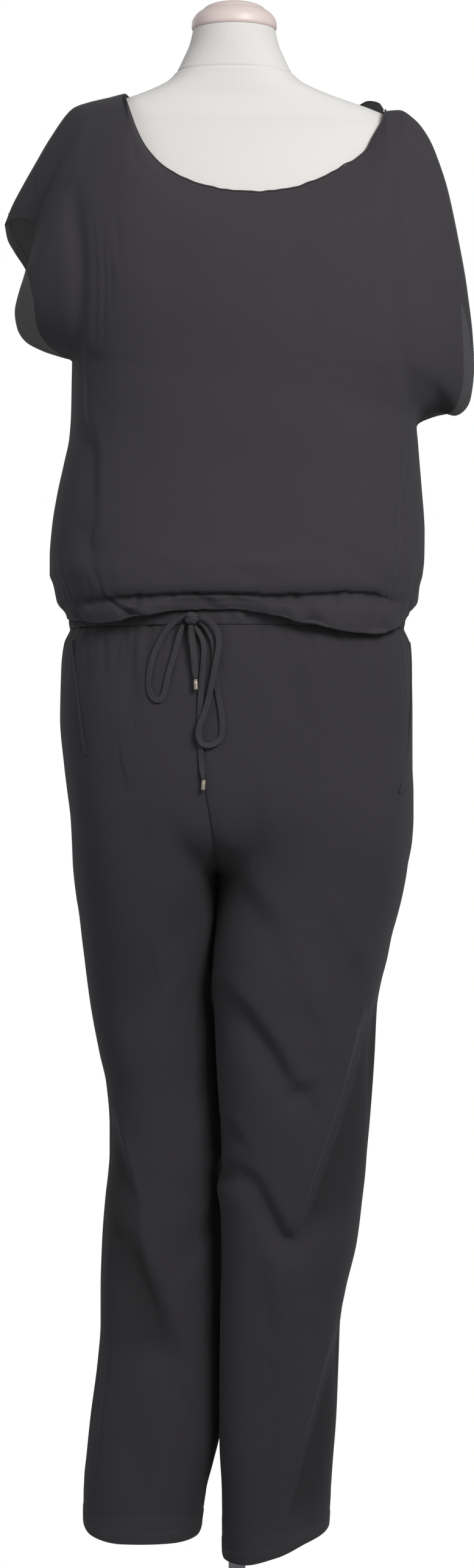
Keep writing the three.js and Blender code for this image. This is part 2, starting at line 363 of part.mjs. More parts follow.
// Pocket edges: narrow bands that lie on the front panels. row v of the leg, column u of the leg
const POCKETS = { left: [[0.1, 0.68], [0.367, 0.607], [0.577, 0.574], [0.835, 0.55], [1, 0.535]],
  right: [[0.1, 0.93], [0.166, 0.92], [0.783, 0.83], [1, 0.79], [1.12, 0.76], [1.3, 0.71]] };
for (const [name, line] of Object.entries(POCKETS)) {
  const side = name === "left" ? -1 : 1, panel = leg(side, true), place = curve(line, 1);
  const first = line[0][0], last = line[line.length - 1][0], e = 1e-3;
  wall(`pocket_edge_${name}`, (w, v) => {
    const u = place(v) - w * 0.018, p = panel(u, v);
    const du = new THREE.Vector3(...panel(u + e, v)).sub(new THREE.Vector3(...panel(u - e, v)));
    const dv = new THREE.Vector3(...panel(u, v + e)).sub(new THREE.Vector3(...panel(u, v - e)));
    const n = du.cross(dv).normalize().multiplyScalar(-side * 1.5);
    return [p[0] + n.x, p[1] + n.y, p[2] + n.z];
  }, steps(0, 1, 2), steps(first, last, 12), { thick: 1.1, out: side });
}

// ---- the drawstring ------------------------------------------------------------------------------
// A flat tube of cloth, seen broad side on. Each line is x, the lift off the trousers, z, from the knot outward.
const LINES = {
  bow_loop_left: [[-56.2, 8.2, 1088], [-66.7, 6.5, 1080.2], [-77.5, 4, 1066.3], [-85.4, 2.8, 1049.4], [-89.5, 2.4, 1033.8],
    [-91, 2.2, 1018], [-87.5, 2.2, 1006], [-81.1, 2.2, 1002], [-75.5, 2.2, 1007], [-71.4, 2.4, 1025],
    [-66.8, 2.6, 1041.5], [-62.5, 2.8, 1056], [-59.5, 3.4, 1068], [-55.4, 4.6, 1080]],
  bow_loop_right: [[-37.9, 8.6, 1088.4], [-26.2, 9, 1081.8], [-19.9, 8, 1071.2], [-18.7, 7.5, 1058.6], [-21.2, 7, 1043],
    [-24.3, 6.5, 1027.4], [-28, 6, 1008.8], [-33, 6, 990.1], [-38.2, 6, 976.4], [-39.9, 5.9, 967], [-37.4, 5.8, 959],
    [-31.2, 4.6, 955.3], [-23.1, 2.8, 957.1], [-16.8, 2.2, 963], [-15, 2.2, 973.4], [-16.2, 2.2, 989],
    [-18.7, 2.2, 1003.9], [-21.8, 2.2, 1019.6], [-23.1, 2.4, 1033.9], [-23.1, 2.6, 1050.7], [-25, 3, 1064],
    [-31, 3.6, 1076], [-38.1, 4.6, 1082.4]],
  tie_end_short: [[-47.6, 7.8, 1078.8], [-46.2, 7, 1066], [-44.6, 6, 1052], [-43.4, 5.4, 1038], [-42.2, 5.4, 1023.6]],
  tie_end_long: [[-43.6, 4.2, 1078.4], [-36.6, 3.2, 1067], [-34, 2.4, 1056], [-34.3, 2.2, 1043.3], [-36.2, 2.2, 1024],
    [-37.6, 2.2, 1000], [-38.1, 2.2, 976], [-37.6, 2.2, 952], [-36, 2.4, 935], [-35, 3, 920.6]],
};
// the point at x, z that lies `lift` in front of the trousers
const hipsFront = { left: leg(-1, true), right: leg(1, true) };
function onTrousers(x, lift, z) {
  const v = clamp((1079.7 - z) / (1079.7 - FORK.top), 0.0001, 1), side = x < hipsFront.left(0, v)[0] ? -1 : 1;
  const panel = side < 0 ? hipsFront.left : hipsFront.right;
  let low = 0, high = 1;
  for (let i = 0; i < 30; i += 1) {
    const half = (low + high) / 2;
    if (side * panel(half, v)[0] < side * x) low = half; else high = half;
  }
  return [x, panel(low, v)[1] - lift, z];
}
const CORD = { broad: 6, thin: 2.6, sides: 8 };
for (const [name, line] of Object.entries(LINES)) {
  const path = new THREE.CatmullRomCurve3(line.map((p) => new THREE.Vector3(...onTrousers(...p))), false, "centripetal");
  const n = Math.round(path.getLength() / 6), m = CORD.sides, points = [], quads = [];
  for (let j = 0; j <= n; j += 1) {
    const p = path.getPointAt(j / n), along = path.getTangentAt(j / n);
    const broad = new THREE.Vector3().crossVectors(along, new THREE.Vector3(0, 1, 0)).normalize();
    const thin = new THREE.Vector3().crossVectors(broad, along).normalize();
    for (let i = 0; i < m; i += 1) {
      const a = (2 * PI * (i + 0.5)) / m;
      points.push(p.clone().addScaledVector(broad, (CORD.broad / 2) * cos(a) * 1.08)
        .addScaledVector(thin, (CORD.thin / 2) * sin(a) * 1.08).toArray());
    }
  }
  for (let j = 0; j < n; j += 1) for (let i = 0; i < m; i += 1) {
    const k = (i + 1) % m;
    quads.push([j * m + i, j * m + k, (j + 1) * m + k, (j + 1) * m + i]);
  }
  for (let i = 1; i < m - 1; i += 1) {
    quads.push([0, i + 1, i]);
    quads.push([n * m, n * m + i, n * m + i + 1]);
  }
  solid(name, points, quads, CLOTH_COLOUR);
}
const knot = new THREE.SphereGeometry(1, 16, 10);
knot.scale(7.6, 5.6, 6.8);
knot.rotateY(0.25);
knot.translate(...onTrousers(-46.6, 7.1, 1086));
add("tie_knot", knot, CLOTH_COLOUR);
// tips: x, lift, z of the middle, lean
for (const [name, x, lift, z, lean] of [["tie_tip_short", -42.3, 5.6, 1017.7, -0.05], ["tie_tip_long", -34.5, 3, 914.7, 0.07]]) {
  const tip = new THREE.CylinderGeometry(2.3, 2.3, 10.6, 16);
  tip.rotateX(PI / 2);
  tip.rotateY(lean);
  tip.translate(...onTrousers(x, lift, z));
  add(name, tip, NICKEL, 0.3, 1);
}

export default group;
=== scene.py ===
# %% [markdown]
# # A jumpsuit on a dress form
# This lesson builds the looks of a loose crepe jumpsuit that stands on a limbless form. The plain solids
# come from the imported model, and each piece here takes the place of one of them at a finer scale. All
# tables are in millimetres, with X to the right, Y away from the viewer and Z up.

# %% Load the frame
import json

import bpy
import numpy as np
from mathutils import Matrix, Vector

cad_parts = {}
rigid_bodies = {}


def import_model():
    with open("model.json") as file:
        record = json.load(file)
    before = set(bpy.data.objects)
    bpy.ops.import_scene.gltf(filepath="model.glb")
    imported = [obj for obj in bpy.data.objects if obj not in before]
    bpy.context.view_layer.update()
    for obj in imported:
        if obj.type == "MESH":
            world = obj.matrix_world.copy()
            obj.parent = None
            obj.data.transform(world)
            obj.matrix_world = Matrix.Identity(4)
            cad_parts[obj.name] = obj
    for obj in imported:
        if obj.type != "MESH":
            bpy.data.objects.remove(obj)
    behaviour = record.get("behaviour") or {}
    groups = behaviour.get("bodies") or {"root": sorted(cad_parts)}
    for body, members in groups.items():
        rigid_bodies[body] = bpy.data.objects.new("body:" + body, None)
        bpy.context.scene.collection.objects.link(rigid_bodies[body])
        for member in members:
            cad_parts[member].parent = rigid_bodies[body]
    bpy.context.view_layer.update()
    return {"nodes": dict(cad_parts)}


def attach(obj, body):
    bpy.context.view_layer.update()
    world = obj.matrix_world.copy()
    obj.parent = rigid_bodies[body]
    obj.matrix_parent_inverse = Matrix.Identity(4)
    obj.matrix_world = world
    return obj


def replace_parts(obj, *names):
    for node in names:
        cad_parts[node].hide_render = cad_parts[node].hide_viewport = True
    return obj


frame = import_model()
MM = 0.001
FINE = 1.0

# %% [markdown]
# ## Curves and shells
# Cloth is drawn from rings between the rows of short tables. A smooth curve through each column could
# overshoot and make waves that the garment doesn't have, so the slopes are the ones that never overshoot.
# A shell is a grid of points and a second grid just behind it, joined round the rim.

# %% Helpers
def curve(rows, column):
    """A smooth line through one column of a table, over its first column."""
    a = np.array(sorted((r[0], r[column]) for r in rows), float)
    x, y = a[:, 0], a[:, 1]
    s = np.diff(y) / np.diff(x)
    m = np.concatenate([s[:1], np.zeros(len(s) - 1), s[-1:]])
    both = s[:-1] * s[1:]
    m[1:-1] = np.where(both > 0, 2 * both / np.where(both > 0, s[:-1] + s[1:], 1), 0)

    def at(v):
        v = np.clip(v, x[0], x[-1])
        i = np.clip(np.searchsorted(x, v, side="right") - 1, 0, len(x) - 2)
        h = x[i + 1] - x[i]
        t = (v - x[i]) / h
        b = 1 - t
        return ((1 + 2 * t) * b * b * y[i] + t * b * b * h * m[i]
                + t * t * (3 - 2 * t) * y[i + 1] - t * t * b * h * m[i + 1])

    return at


def smooth(a, b, x):
    """0 up to a, 1 from b on, with a soft rise between."""
    t = np.clip((x - a) / (b - a), 0, 1)
    return t * t * (3 - 2 * t)


def mix(a, b, t):
    return a + (b - a) * t


def hill(a, b, c, d, x):
    """Rises between a and b, and falls again between c and d."""
    return smooth(a, b, x) * (1 - smooth(c, d, x))


def grid(down, along):
    """What is given for the rows times what is given for the columns."""
    return down[:, None] * along[None, :]


def spread(places, n):
    """n columns or rows, as dense between the table's places as the places are."""
    places = np.array(places, float)
    return np.interp(np.linspace(0, len(places) - 1, n), np.arange(len(places)), places)


def blur(P, reach, axis):
    """A grid of points, averaged twice over `reach` neighbours to each side."""
    count = P.shape[axis]
    for _ in range(2):
        padded = np.pad(P, [(reach, reach) if k == axis else (0, 0) for k in range(3)], mode="edge")
        steps = range(2 * reach + 1)
        P = sum(np.take(padded, range(k, k + count), axis=axis) for k in steps) / len(steps)
    return P


def normals(P, side):
    """Unit normals of a grid of points; side is +1 or -1."""
    du, dv = np.gradient(P, axis=1), np.gradient(P, axis=0)
    n = np.cross(du, dv) * side
    return n / np.maximum(np.linalg.norm(n, axis=2, keepdims=True), 1e-9)


def faces(ids):
    """The faces between neighbours in a grid of point numbers."""
    return np.stack([ids[:-1, :-1], ids[:-1, 1:], ids[1:, 1:], ids[1:, :-1]], -1).reshape(-1, 4)


def closed(rows, sides):
    """Point numbers of rings, with the first point of each ring again at its end."""
    ids = np.arange(rows * sides).reshape(rows, sides)
    return np.concatenate([ids, ids[:, :1]], axis=1)


def make(name, verts, quads, material, uv=None):
    """An object from points in millimetres and faces of four corners."""
    me = bpy.data.meshes.new(name)
    quads = np.asarray(quads, np.int32)
    me.vertices.add(len(verts))
    me.vertices.foreach_set("co", (np.asarray(verts, float) * MM).ravel())
    me.loops.add(quads.size)
    me.loops.foreach_set("vertex_index", quads.ravel())
    me.polygons.add(len(quads))
    me.polygons.foreach_set("loop_start", np.arange(0, quads.size, quads.shape[1], dtype=np.int32))
    me.update(calc_edges=True)
    me.polygons.foreach_set("use_smooth", np.full(len(quads), True))
    if uv is not None:
        layer = me.uv_layers.new(name="cut")
        layer.data.foreach_set("uv", np.asarray(uv, float)[quads.ravel()].ravel())
    me.materials.append(material)
    me.validate()
    o = bpy.data.objects.new(name.replace(" ", "-"), me)
    bpy.context.scene.collection.objects.link(o)
    return o


def shell(name, P, side, material, thick=0.9, ring=False, keep=None):
    """A thin sheet of cloth, and its area in square metres. P is a grid of points, rows by columns. side is
    +1 or -1, so that the normal looks outward. A ring closes on itself. keep holds the inner face in place.
    """
    if ring:
        wrap = np.concatenate([P[:, -1:], P, P[:, :1]], axis=1)
        N = normals(wrap, side)[:, 1:-1]
    else:
        N = normals(P, side)
    Q = P - N * thick
    if keep is not None:
        Q = keep(Q)
    rows, cols = P.shape[:2]
    ids = closed(rows, cols) if ring else np.arange(rows * cols).reshape(rows, cols)
    inner = ids + rows * cols
    rims = []
    for a, b in ((ids[0], inner[0]), (ids[-1][::-1], inner[-1][::-1])):
        rims.append(np.stack([a[1:], a[:-1], b[:-1], b[1:]], -1))
    if not ring:
        for a, b in ((ids[::-1, 0], inner[::-1, 0]), (ids[:, -1], inner[:, -1])):
            rims.append(np.stack([a[1:], a[:-1], b[:-1], b[1:]], -1))
    quads = np.concatenate([faces(ids), faces(inner)[:, ::-1], *rims])
    if side < 0:
        quads = quads[:, ::-1]
    along = np.cumsum(np.linalg.norm(np.diff(P, axis=1, prepend=P[:, :1]), axis=2), axis=1)
    down = np.cumsum(np.linalg.norm(np.diff(P, axis=0, prepend=P[:1]), axis=2), axis=0)
    along = along - along[:, cols // 2][:, None]
    uv = np.stack([along, -down], -1).reshape(-1, 2) * MM
    o = make(name, np.concatenate([P.reshape(-1, 3), Q.reshape(-1, 3)]), quads, material,
             np.concatenate([uv, uv]))
    area = np.linalg.norm(np.cross(np.diff(P, axis=1)[:-1], np.diff(P, axis=0)[:, :-1]), axis=2).sum() * 1e-6
    return o, area


def crease(X, Z, table):
    """Soft folds. Each row: the points of its line, width, depth (below zero is a trough), and the height of
    a ridge beside it, on the left of the way the line runs if it is above zero. The trough rises slowly on
    its other side."""
    total = np.zeros_like(X)
    for points, width, depth, lip in table:
        p = np.array(points, float)
        seg = np.linalg.norm(np.diff(p, axis=0), axis=1)
        start = np.concatenate([[0], np.cumsum(seg)])
        best, where, sign = np.full(X.shape, 1e9), np.zeros_like(X), np.zeros_like(X)
        for i in range(len(seg)):
            dx, dz = p[i + 1] - p[i]
            t = np.clip(((X - p[i, 0]) * dx + (Z - p[i, 1]) * dz) / seg[i] ** 2, 0, 1)
            ex, ez = X - p[i, 0] - t * dx, Z - p[i, 1] - t * dz
            d = np.hypot(ex, ez)
            near = d < best
            best = np.where(near, d, best)
            where = np.where(near, (start[i] + t * seg[i]) / start[-1], where)
            sign = np.where(near, np.sign(dx * ez - dz * ex), sign)
        fade = 0.25 + 0.75 * np.sin(np.pi * np.clip(where, 0.02, 0.98)) ** 0.7
        gentle = width + min(1.6 * width, 18) * (sign * np.sign(lip) < 0)
        total += depth * np.exp(-(best / gentle) ** 2) * fade
        if lip:
            beside = best * sign * np.sign(lip)
            total += abs(lip) * np.exp(-((beside - 1.5 * width) / (1.2 * width)) ** 2) * fade
    return total


def pleats(S, Z, seed, count, low, high, top, longest, deepest, down=True):
    """Uneven gathers: thin troughs that start at `top` and fade out along the cloth."""
    rng = np.random.default_rng(seed)
    total = np.zeros_like(S)
    places = np.linspace(low, high, count) + rng.normal(0, 0.28 * (high - low) / count, count)
    for s in places:
        width, depth = rng.uniform(1.6, 4.2), rng.uniform(0.25, 1.0) * deepest
        length, drift = longest * rng.uniform(0.25, 1.0) ** 1.3, rng.normal(0, 0.07)
        away = (top - Z) if down else (Z - top)
        line = S - s - drift * away
        wide = width * (1 + 1.6 * np.clip(away / longest, 0, 1))
        total -= depth * np.exp(-(line / wide) ** 2) * (1 - smooth(0.2 * length, length, away))
    return total


# %% [markdown]
# ## Cloth, linen, cap and metal
# The crepe is nearly black with a soft bloom at grazing angles, and its crinkled yarn runs mostly up and
# down. The grain is a node group that reads the cut's own coordinates in metres, so it keeps its size on
# every panel.

# %% Materials
def grain_group(name, fine, long, height, tone):
    """Crinkled yarn: noise drawn out along the cloth, and a finer weave on top."""
    g = bpy.data.node_groups.new(name, "ShaderNodeTree")
    g.interface.new_socket("Coordinates", in_out="INPUT", socket_type="NodeSocketVector")
    g.interface.new_socket("Height", in_out="OUTPUT", socket_type="NodeSocketFloat")
    g.interface.new_socket("Tone", in_out="OUTPUT", socket_type="NodeSocketFloat")
    start, end = g.nodes.new("NodeGroupInput"), g.nodes.new("NodeGroupOutput")
    parts = []
    for scale, weight in (((fine, fine / long, 1), 0.6), ((fine * 2.1, fine * 2.1, 1), 0.4)):
        m = g.nodes.new("ShaderNodeVectorMath")
        m.operation = "MULTIPLY"
        m.inputs[1].default_value = scale
        n = g.nodes.new("ShaderNodeTexNoise")
        n.inputs["Scale"].default_value = 1
        n.inputs["Detail"].default_value = 2
        w = g.nodes.new("ShaderNodeMath")
        w.operation = "MULTIPLY"
        w.inputs[1].default_value = weight
        g.links.new(start.outputs[0], m.inputs[0])
        g.links.new(m.outputs[0], n.inputs["Vector"])
        g.links.new(n.outputs["Fac"], w.inputs[0])
        parts.append(w)
    add = g.nodes.new("ShaderNodeMath")
    g.links.new(parts[0].outputs[0], add.inputs[0])
    g.links.new(parts[1].outputs[0], add.inputs[1])
    for socket, size, base in ((0, height, 0), (1, tone, 1 - tone / 2)):
        k = g.nodes.new("ShaderNodeMath")
        k.operation = "MULTIPLY_ADD"
        k.inputs[1].default_value, k.inputs[2].default_value = size, base
        g.links.new(add.outputs[0], k.inputs[0])
        g.links.new(k.outputs[0], end.inputs[socket])
    return g


def cloth(name, colour, group, sheen, sheen_colour, coordinates="UV", distance=0.0005, sheer=0.0, painted_shade=0.0):
    """Matt cloth with its grain as a bump and a tone. sheer lets some light through. The last argument is a
    painted shade: it darkens the base colour where a mesh attribute marks cloth that turns away from the
    light."""
    m = bpy.data.materials.new(name)
    m.use_nodes = True
    t, p = m.node_tree, m.node_tree.nodes["Principled BSDF"]
    where = t.nodes.new("ShaderNodeUVMap" if coordinates == "UV" else "ShaderNodeTexCoord")
    grain = t.nodes.new("ShaderNodeGroup")
    grain.node_tree = group
    t.links.new(where.outputs[0 if coordinates == "UV" else "Object"], grain.inputs[0])
    bump = t.nodes.new("ShaderNodeBump")
    bump.inputs["Strength"].default_value = 1
    bump.inputs["Distance"].default_value = distance
    t.links.new(grain.outputs["Height"], bump.inputs["Height"])
    t.links.new(bump.outputs[0], p.inputs["Normal"])
    shade = t.nodes.new("ShaderNodeMix")
    shade.data_type = "RGBA"
    shade.blend_type = "MULTIPLY"
    shade.inputs[0].default_value = 1
    shade.inputs[6].default_value = (*colour, 1)
    t.links.new(grain.outputs["Tone"], shade.inputs[7])
    # painted shade: a mesh attribute darkens the base colour where the cloth turns away from the light
    if painted_shade:
        mark = t.nodes.new("ShaderNodeAttribute")
        mark.attribute_name = "painted_shade"
        dim = t.nodes.new("ShaderNodeMath")
        dim.operation = "MULTIPLY_ADD"
        dim.inputs[1].default_value = -painted_shade
        dim.inputs[2].default_value = 1
        both = t.nodes.new("ShaderNodeMix")
        both.data_type = "RGBA"
        both.blend_type = "MULTIPLY"
        both.inputs[0].default_value = 1
        t.links.new(mark.outputs["Fac"], dim.inputs[0])
        t.links.new(shade.outputs[2], both.inputs[6])
        t.links.new(dim.outputs[0], both.inputs[7])
        shade = both
    t.links.new(shade.outputs[2], p.inputs["Base Color"])
    p.inputs["Roughness"].default_value = 0.9
    p.inputs["Sheen Weight"].default_value = sheen
    p.inputs["Sheen Roughness"].default_value = 0.45
    p.inputs["Sheen Tint"].default_value = (*sheen_colour, 1)
    p.inputs["Specular IOR Level"].default_value = 0.2
    p.inputs["Alpha"].default_value = 1 - sheer
    return m


def plain(name, colour, rough, metal=0.0):
    """One even finish."""
    m = bpy.data.materials.new(name)
    m.use_nodes = True
    p = m.node_tree.nodes["Principled BSDF"]
    p.inputs["Base Color"].default_value = (*colour, 1)
    p.inputs["Roughness"].default_value = rough
    p.inputs["Metallic"].default_value = metal
    return m


crinkle = grain_group("crinkled yarn", 900, 9, 1.0, 0.35)
weave = grain_group("plain weave", 1500, 1.4, 1.0, 0.12)
BLACK, LEG_BLACK_PAINTED_SHADE, TIE_BLACK_PAINTED_SHADE = (0.036, 0.033, 0.036), (0.0295, 0.027, 0.0295), (0.032, 0.0295, 0.032)
CREPE = cloth("crepe", BLACK, crinkle, 0.06, (0.6, 0.58, 0.62), sheer=0.15)
# the legs' crepe is painted darker than the bodice's: a painted shade for the light that falls off towards
# the hems
LEGS = cloth("crepe of the legs", LEG_BLACK_PAINTED_SHADE, crinkle, 0.06, (0.6, 0.58, 0.62), sheer=0.05, painted_shade=0.3)
# the tube's crepe is painted a little darker than the bodice's: a painted shade on the drawstring, its knot
# and the neck binding
TIE = cloth("crepe tube", TIE_BLACK_PAINTED_SHADE, crinkle, 0.06, (0.6, 0.57, 0.6), "Object")
LINEN = cloth("linen", (0.53, 0.515, 0.495), weave, 0.1, (1, 1, 1), "Object", 0.0002)
CAP = plain("cap", (0.53, 0.44, 0.415), 0.45)
STEEL = plain("steel", (0.25, 0.25, 0.26), 0.4, 1.0)
NICKEL = plain("nickel", (0.33, 0.29, 0.245), 0.45, 1.0)
THREAD = plain("thread", (0.02, 0.02, 0.022), 0.7)
print("materials", len(bpy.data.materials))

# %% [markdown]
# ## The form
# The form is a stack of rings, wide at the hips and chest and drawn in sharply over the shoulders to the
# neck. A seam runs round the foot of the neck, where the cover's collar is sewn on, and a domed cap closes
# the top.

# %% Form
# height, half width, depth in front, depth behind
FORM = [
    [880, 148, 92, 98], [900, 160, 99, 108], [940, 171, 104, 117], [1000, 171, 104, 118],
    [1050, 166, 101, 113], [1100, 155, 97, 100], [1150, 134, 91, 86], [1200, 122, 89, 79],
    [1260, 130, 98, 80], [1340, 148, 112, 86], [1400, 156, 123, 90], [1440, 161, 127, 93],
    [1480, 167, 120, 95], [1520, 174, 104, 96], [1560, 180, 86, 93], [1600, 183, 65, 82],
    [1612, 180.5, 57, 76], [1620, 174.5, 51, 71], [1628, 163, 46.5, 65], [1636, 144.5, 43.5, 60],
    [1642, 127, 42, 57], [1648, 109, 41.5, 55], [1655, 91, 41.5, 53], [1664, 73, 41.5, 51.5],
    [1675, 61.5, 41.5, 50], [1690, 54, 42, 49], [1705, 47.5, 43, 47], [1719.7, 44, 43.5, 45]]
FORM_LEAN = 0.012
form_wide, form_front, form_back = (curve(FORM, k) for k in (1, 2, 3))


def corner(z):
    """How square the form's ring is."""
    return 0.16 * (1 - smooth(1640, 1700, z))


def form_depth(x, z, front):
    """How far the form's surface stands before or behind the plane of the side seams."""
    z = np.clip(z, FORM[0][0], 1700)
    q = np.abs(x) / form_wide(z)
    depth = (form_front if front else form_back)(z)
    return np.where(q >= 1, 0, depth * np.sqrt(np.clip(1 - q * q, 0, 1)) * (1 + corner(z) * q * q))


def loft(name, z, wide, front, back, k, x0, lean, material, sides=96):
    """A closed body from rings: height, half width, depths, squareness, shift and lean of each."""
    a = np.linspace(0, 2 * np.pi, sides, endpoint=False)[None, :]
    z, wide, front, back, k, x0, lean = (
        np.asarray(v, float)[:, None] for v in (z, wide, front, back, k, x0, lean))
    x = wide * np.cos(a) * (1 + k * np.sin(a) ** 2)
    y = np.where(np.sin(a) < 0, front, back) * np.sin(a) * (1 + k * np.cos(a) ** 2)
    P = np.stack([x0 + x, y, z - lean * x], -1)
    rows = len(z)
    ids = closed(rows, sides)
    quads = [faces(ids)]
    verts = [P.reshape(-1, 3)]
    base = rows * sides
    for j, flip in ((0, True), (rows - 1, False)):
        ring = P[j]
        middle = ring.mean(0)
        verts.append(middle + (ring - middle) * 0.5)
        verts.append(middle + (ring - middle) * 0.02)
        for outer, inner in ((ids[j, :-1], base), (base + np.arange(sides), base + sides)):
            i = np.arange(sides)
            q = np.stack([outer, np.roll(outer, -1), inner + np.roll(i, -1), inner + i], -1)
            quads.append(q[:, ::-1] if flip else q)
        base += 2 * sides
    return make(name, np.concatenate(verts), np.concatenate(quads), material)


NECK_TOP = 1719.7
zs = np.unique(np.concatenate([np.arange(880, 1600, 12.0), np.arange(1600, NECK_TOP, 0.8), [NECK_TOP]]))
# the seam is a groove, with a low welt below it
seam = 1 - 0.022 * np.exp(-((zs - 1674.5) / 1.1) ** 2) + 0.006 * np.exp(-((zs - 1671.5) / 1.6) ** 2)
torso = loft("form torso", zs, form_wide(zs) * seam, form_front(zs) * seam, form_back(zs) * seam, corner(zs),
             -3 * smooth(1640, 1680, zs), FORM_LEAN * hill(1300, 1600, 1650, 1719, zs), LINEN)
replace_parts(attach(torso, "root"), "form_torso")
# height above the cap's foot, share of its full width
CAP_ROWS = [[0, 0.965], [3, 1], [9, 0.99], [16, 0.9], [22, 0.72], [27, 0.46], [29.5, 0.2], [30.2, 0.05]]
h = np.linspace(0, 30.0, 26)
share = curve(CAP_ROWS, 1)(h)
# the top of the dome is a part of a circle
share = np.where(h > 22, 0.745 * np.sqrt(np.clip(1 - ((h - 20) / 10.4) ** 2, 0.002, 1)), share)
cap = loft("form neck cap", NECK_TOP + 0.2 + h, 45.5 * share, 45 * share, 46.5 * share,
           h * 0, h * 0 - 3, h * 0, CAP)
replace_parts(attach(cap, "root"), "form_neck_cap")
for node in ("form_pole", "form_base"):
    o = frame["nodes"][node]
    o.data.materials.clear()
    o.data.materials.append(STEEL)
print("form height", round(torso.dimensions.z, 3), "m")

# %% [markdown]
# ## The bodice
# The front and the back are each cut in one with their sleeves, and are sewn along the overarm and the
# side. A panel is the ring of the body at each row, pulled up at its top to the overarm and the neckline.
# Near the waist the cloth is longer than the body needs: it creases, rolls over the casing and goes back
# up inside.

# %% Bodice tables
# place along the panel's top, x, y, z
OVERARM_LEFT = [
    [0, -248, 0, 1513], [0.03, -240, 0, 1533], [0.06, -229, 0, 1554], [0.09, -216, 0, 1577],
    [0.12, -199, 0, 1606], [0.15, -177, 0, 1635], [0.18, -161, 0, 1641], [0.22, -138, 0, 1647],
    [0.26, -120, 0, 1652]]
OVERARM_RIGHT = [
    [0.79, 158, 0, 1634], [0.82, 173, 0, 1635.5], [0.85, 189, 0, 1626], [0.88, 205, 0, 1605],
    [0.91, 217, 0, 1575], [0.94, 228, 0, 1528], [0.97, 236, 0, 1480], [1, 239, 0, 1434]]
NECK_FRONT = [
    [0.27, -119, -26, 1645], [0.28, -114, -44, 1628], [0.30, -106, -59, 1604], [0.33, -96, -71, 1583],
    [0.37, -78, -84, 1561], [0.41, -56, -94, 1546], [0.45, -31, -101, 1536], [0.5, -3, -104.5, 1530.5],
    [0.54, 22, -105, 1529.3], [0.59, 52, -101, 1533], [0.64, 82, -93, 1543.5], [0.68, 104, -84, 1556],
    [0.71, 122, -75, 1568], [0.73, 136, -65, 1581], [0.75, 144, -53, 1598], [0.77, 153, -44, 1614],
    [0.78, 157, -31, 1628.5]]
NECK_BACK = [
    [0.28, -116, 17, 1652], [0.32, -101, 44, 1646], [0.38, -70, 66, 1634], [0.45, -30, 77, 1627],
    [0.5, 0, 79, 1625], [0.57, 45, 77, 1627], [0.64, 85, 65, 1634], [0.70, 118, 45, 1642],
    [0.745, 140, 22, 1648], [0.77, 151, 9, 1644]]
# the sleeves' hems: row, x, y, z
HEM_FRONT_LEFT = [
    [0, -248, 0, 1513], [0.6, -238, -9, 1517], [1.1, -226, -16, 1515], [1.7, -215, -23, 1505],
    [3, -218, -34, 1477], [4.5, -227, -38, 1445], [6, -235, -34, 1414], [6.8, -233, -27, 1399],
    [7.6, -225, -19, 1386], [8.6, -205, -9, 1376], [9.4, -188, -3, 1371], [10, -176, 0, 1367]]
HEM_BACK_LEFT = [
    [0, -248, 0, 1513], [0.8, -246, 12, 1500], [1.7, -239, 22, 1487], [3, -227, 33, 1468],
    [4.5, -220, 38, 1440], [6, -216, 36, 1411], [7.5, -205, 24, 1389], [9, -188, 9, 1375],
    [10, -176, 0, 1367]]
HEM_FRONT_RIGHT = [
    [0, 239, 0, 1434], [1, 243, -14, 1417], [2.5, 247.5, -26, 1389], [4.3, 251, -30, 1357],
    [6, 247.5, -26, 1324], [7, 240, -21, 1311], [7.7, 231, -17, 1307], [8.5, 216, -11, 1311],
    [9.3, 202, -5, 1309], [10, 191.7, 0, 1297]]
HEM_BACK_RIGHT = [
    [0, 239, 0, 1434], [1, 240, 13, 1418], [2.5, 243, 25, 1391], [4.3, 244, 31, 1359], [6, 239, 28, 1330],
    [7.3, 228, 19, 1314], [8.6, 212, 9, 1309], [10, 191.7, 0, 1297]]
# row, x and z of the left seam, x and z of the right seam
SIDE_SEAMS = [
    [11, -176.5, 1340, 193, 1281], [12, -177, 1313, 194.5, 1262], [13, -179, 1284, 196, 1244],
    [14, -184.5, 1256, 197.5, 1225], [15, -191.5, 1224, 199, 1206], [16, -197, 1190, 200, 1184],
    [17, -199.5, 1158, 199.7, 1158], [18, -199.5, 1139, 197.8, 1139], [19, -194.5, 1124, 194, 1124],
    [20, -186, 1111, 187, 1111], [21, -183, 1105, 184.5, 1105], [22, -181, 1100, 183, 1099.5],
    [23, -180, 1098, 181.5, 1098], [23.6, -179, 1097.3, 179.5, 1097.3], [24, -176, 1097.3, 176, 1097.3]]
# row, y of the front, y of the back, z
MIDDLE = [
    [0, -102, 78, 1470], [1, -111, 89, 1455], [2, -120, 96, 1441], [3, -127, 102, 1427],
    [5, -133, 107, 1398], [7, -136, 110, 1370], [10, -136, 112, 1327], [12, -136, 112, 1292],
    [14, -137, 114, 1250], [16, -142, 119, 1195], [17, -146, 123, 1162], [18, -150, 128, 1141],
    [19, -151, 130, 1124], [20, -145, 125, 1110], [21, -150, 129, 1100], [22, -147, 127, 1090],
    [23, -138.5, 122, 1094], [23.6, -136, 121.5, 1097.3], [24, -131.7, 117.2, 1097.3]]
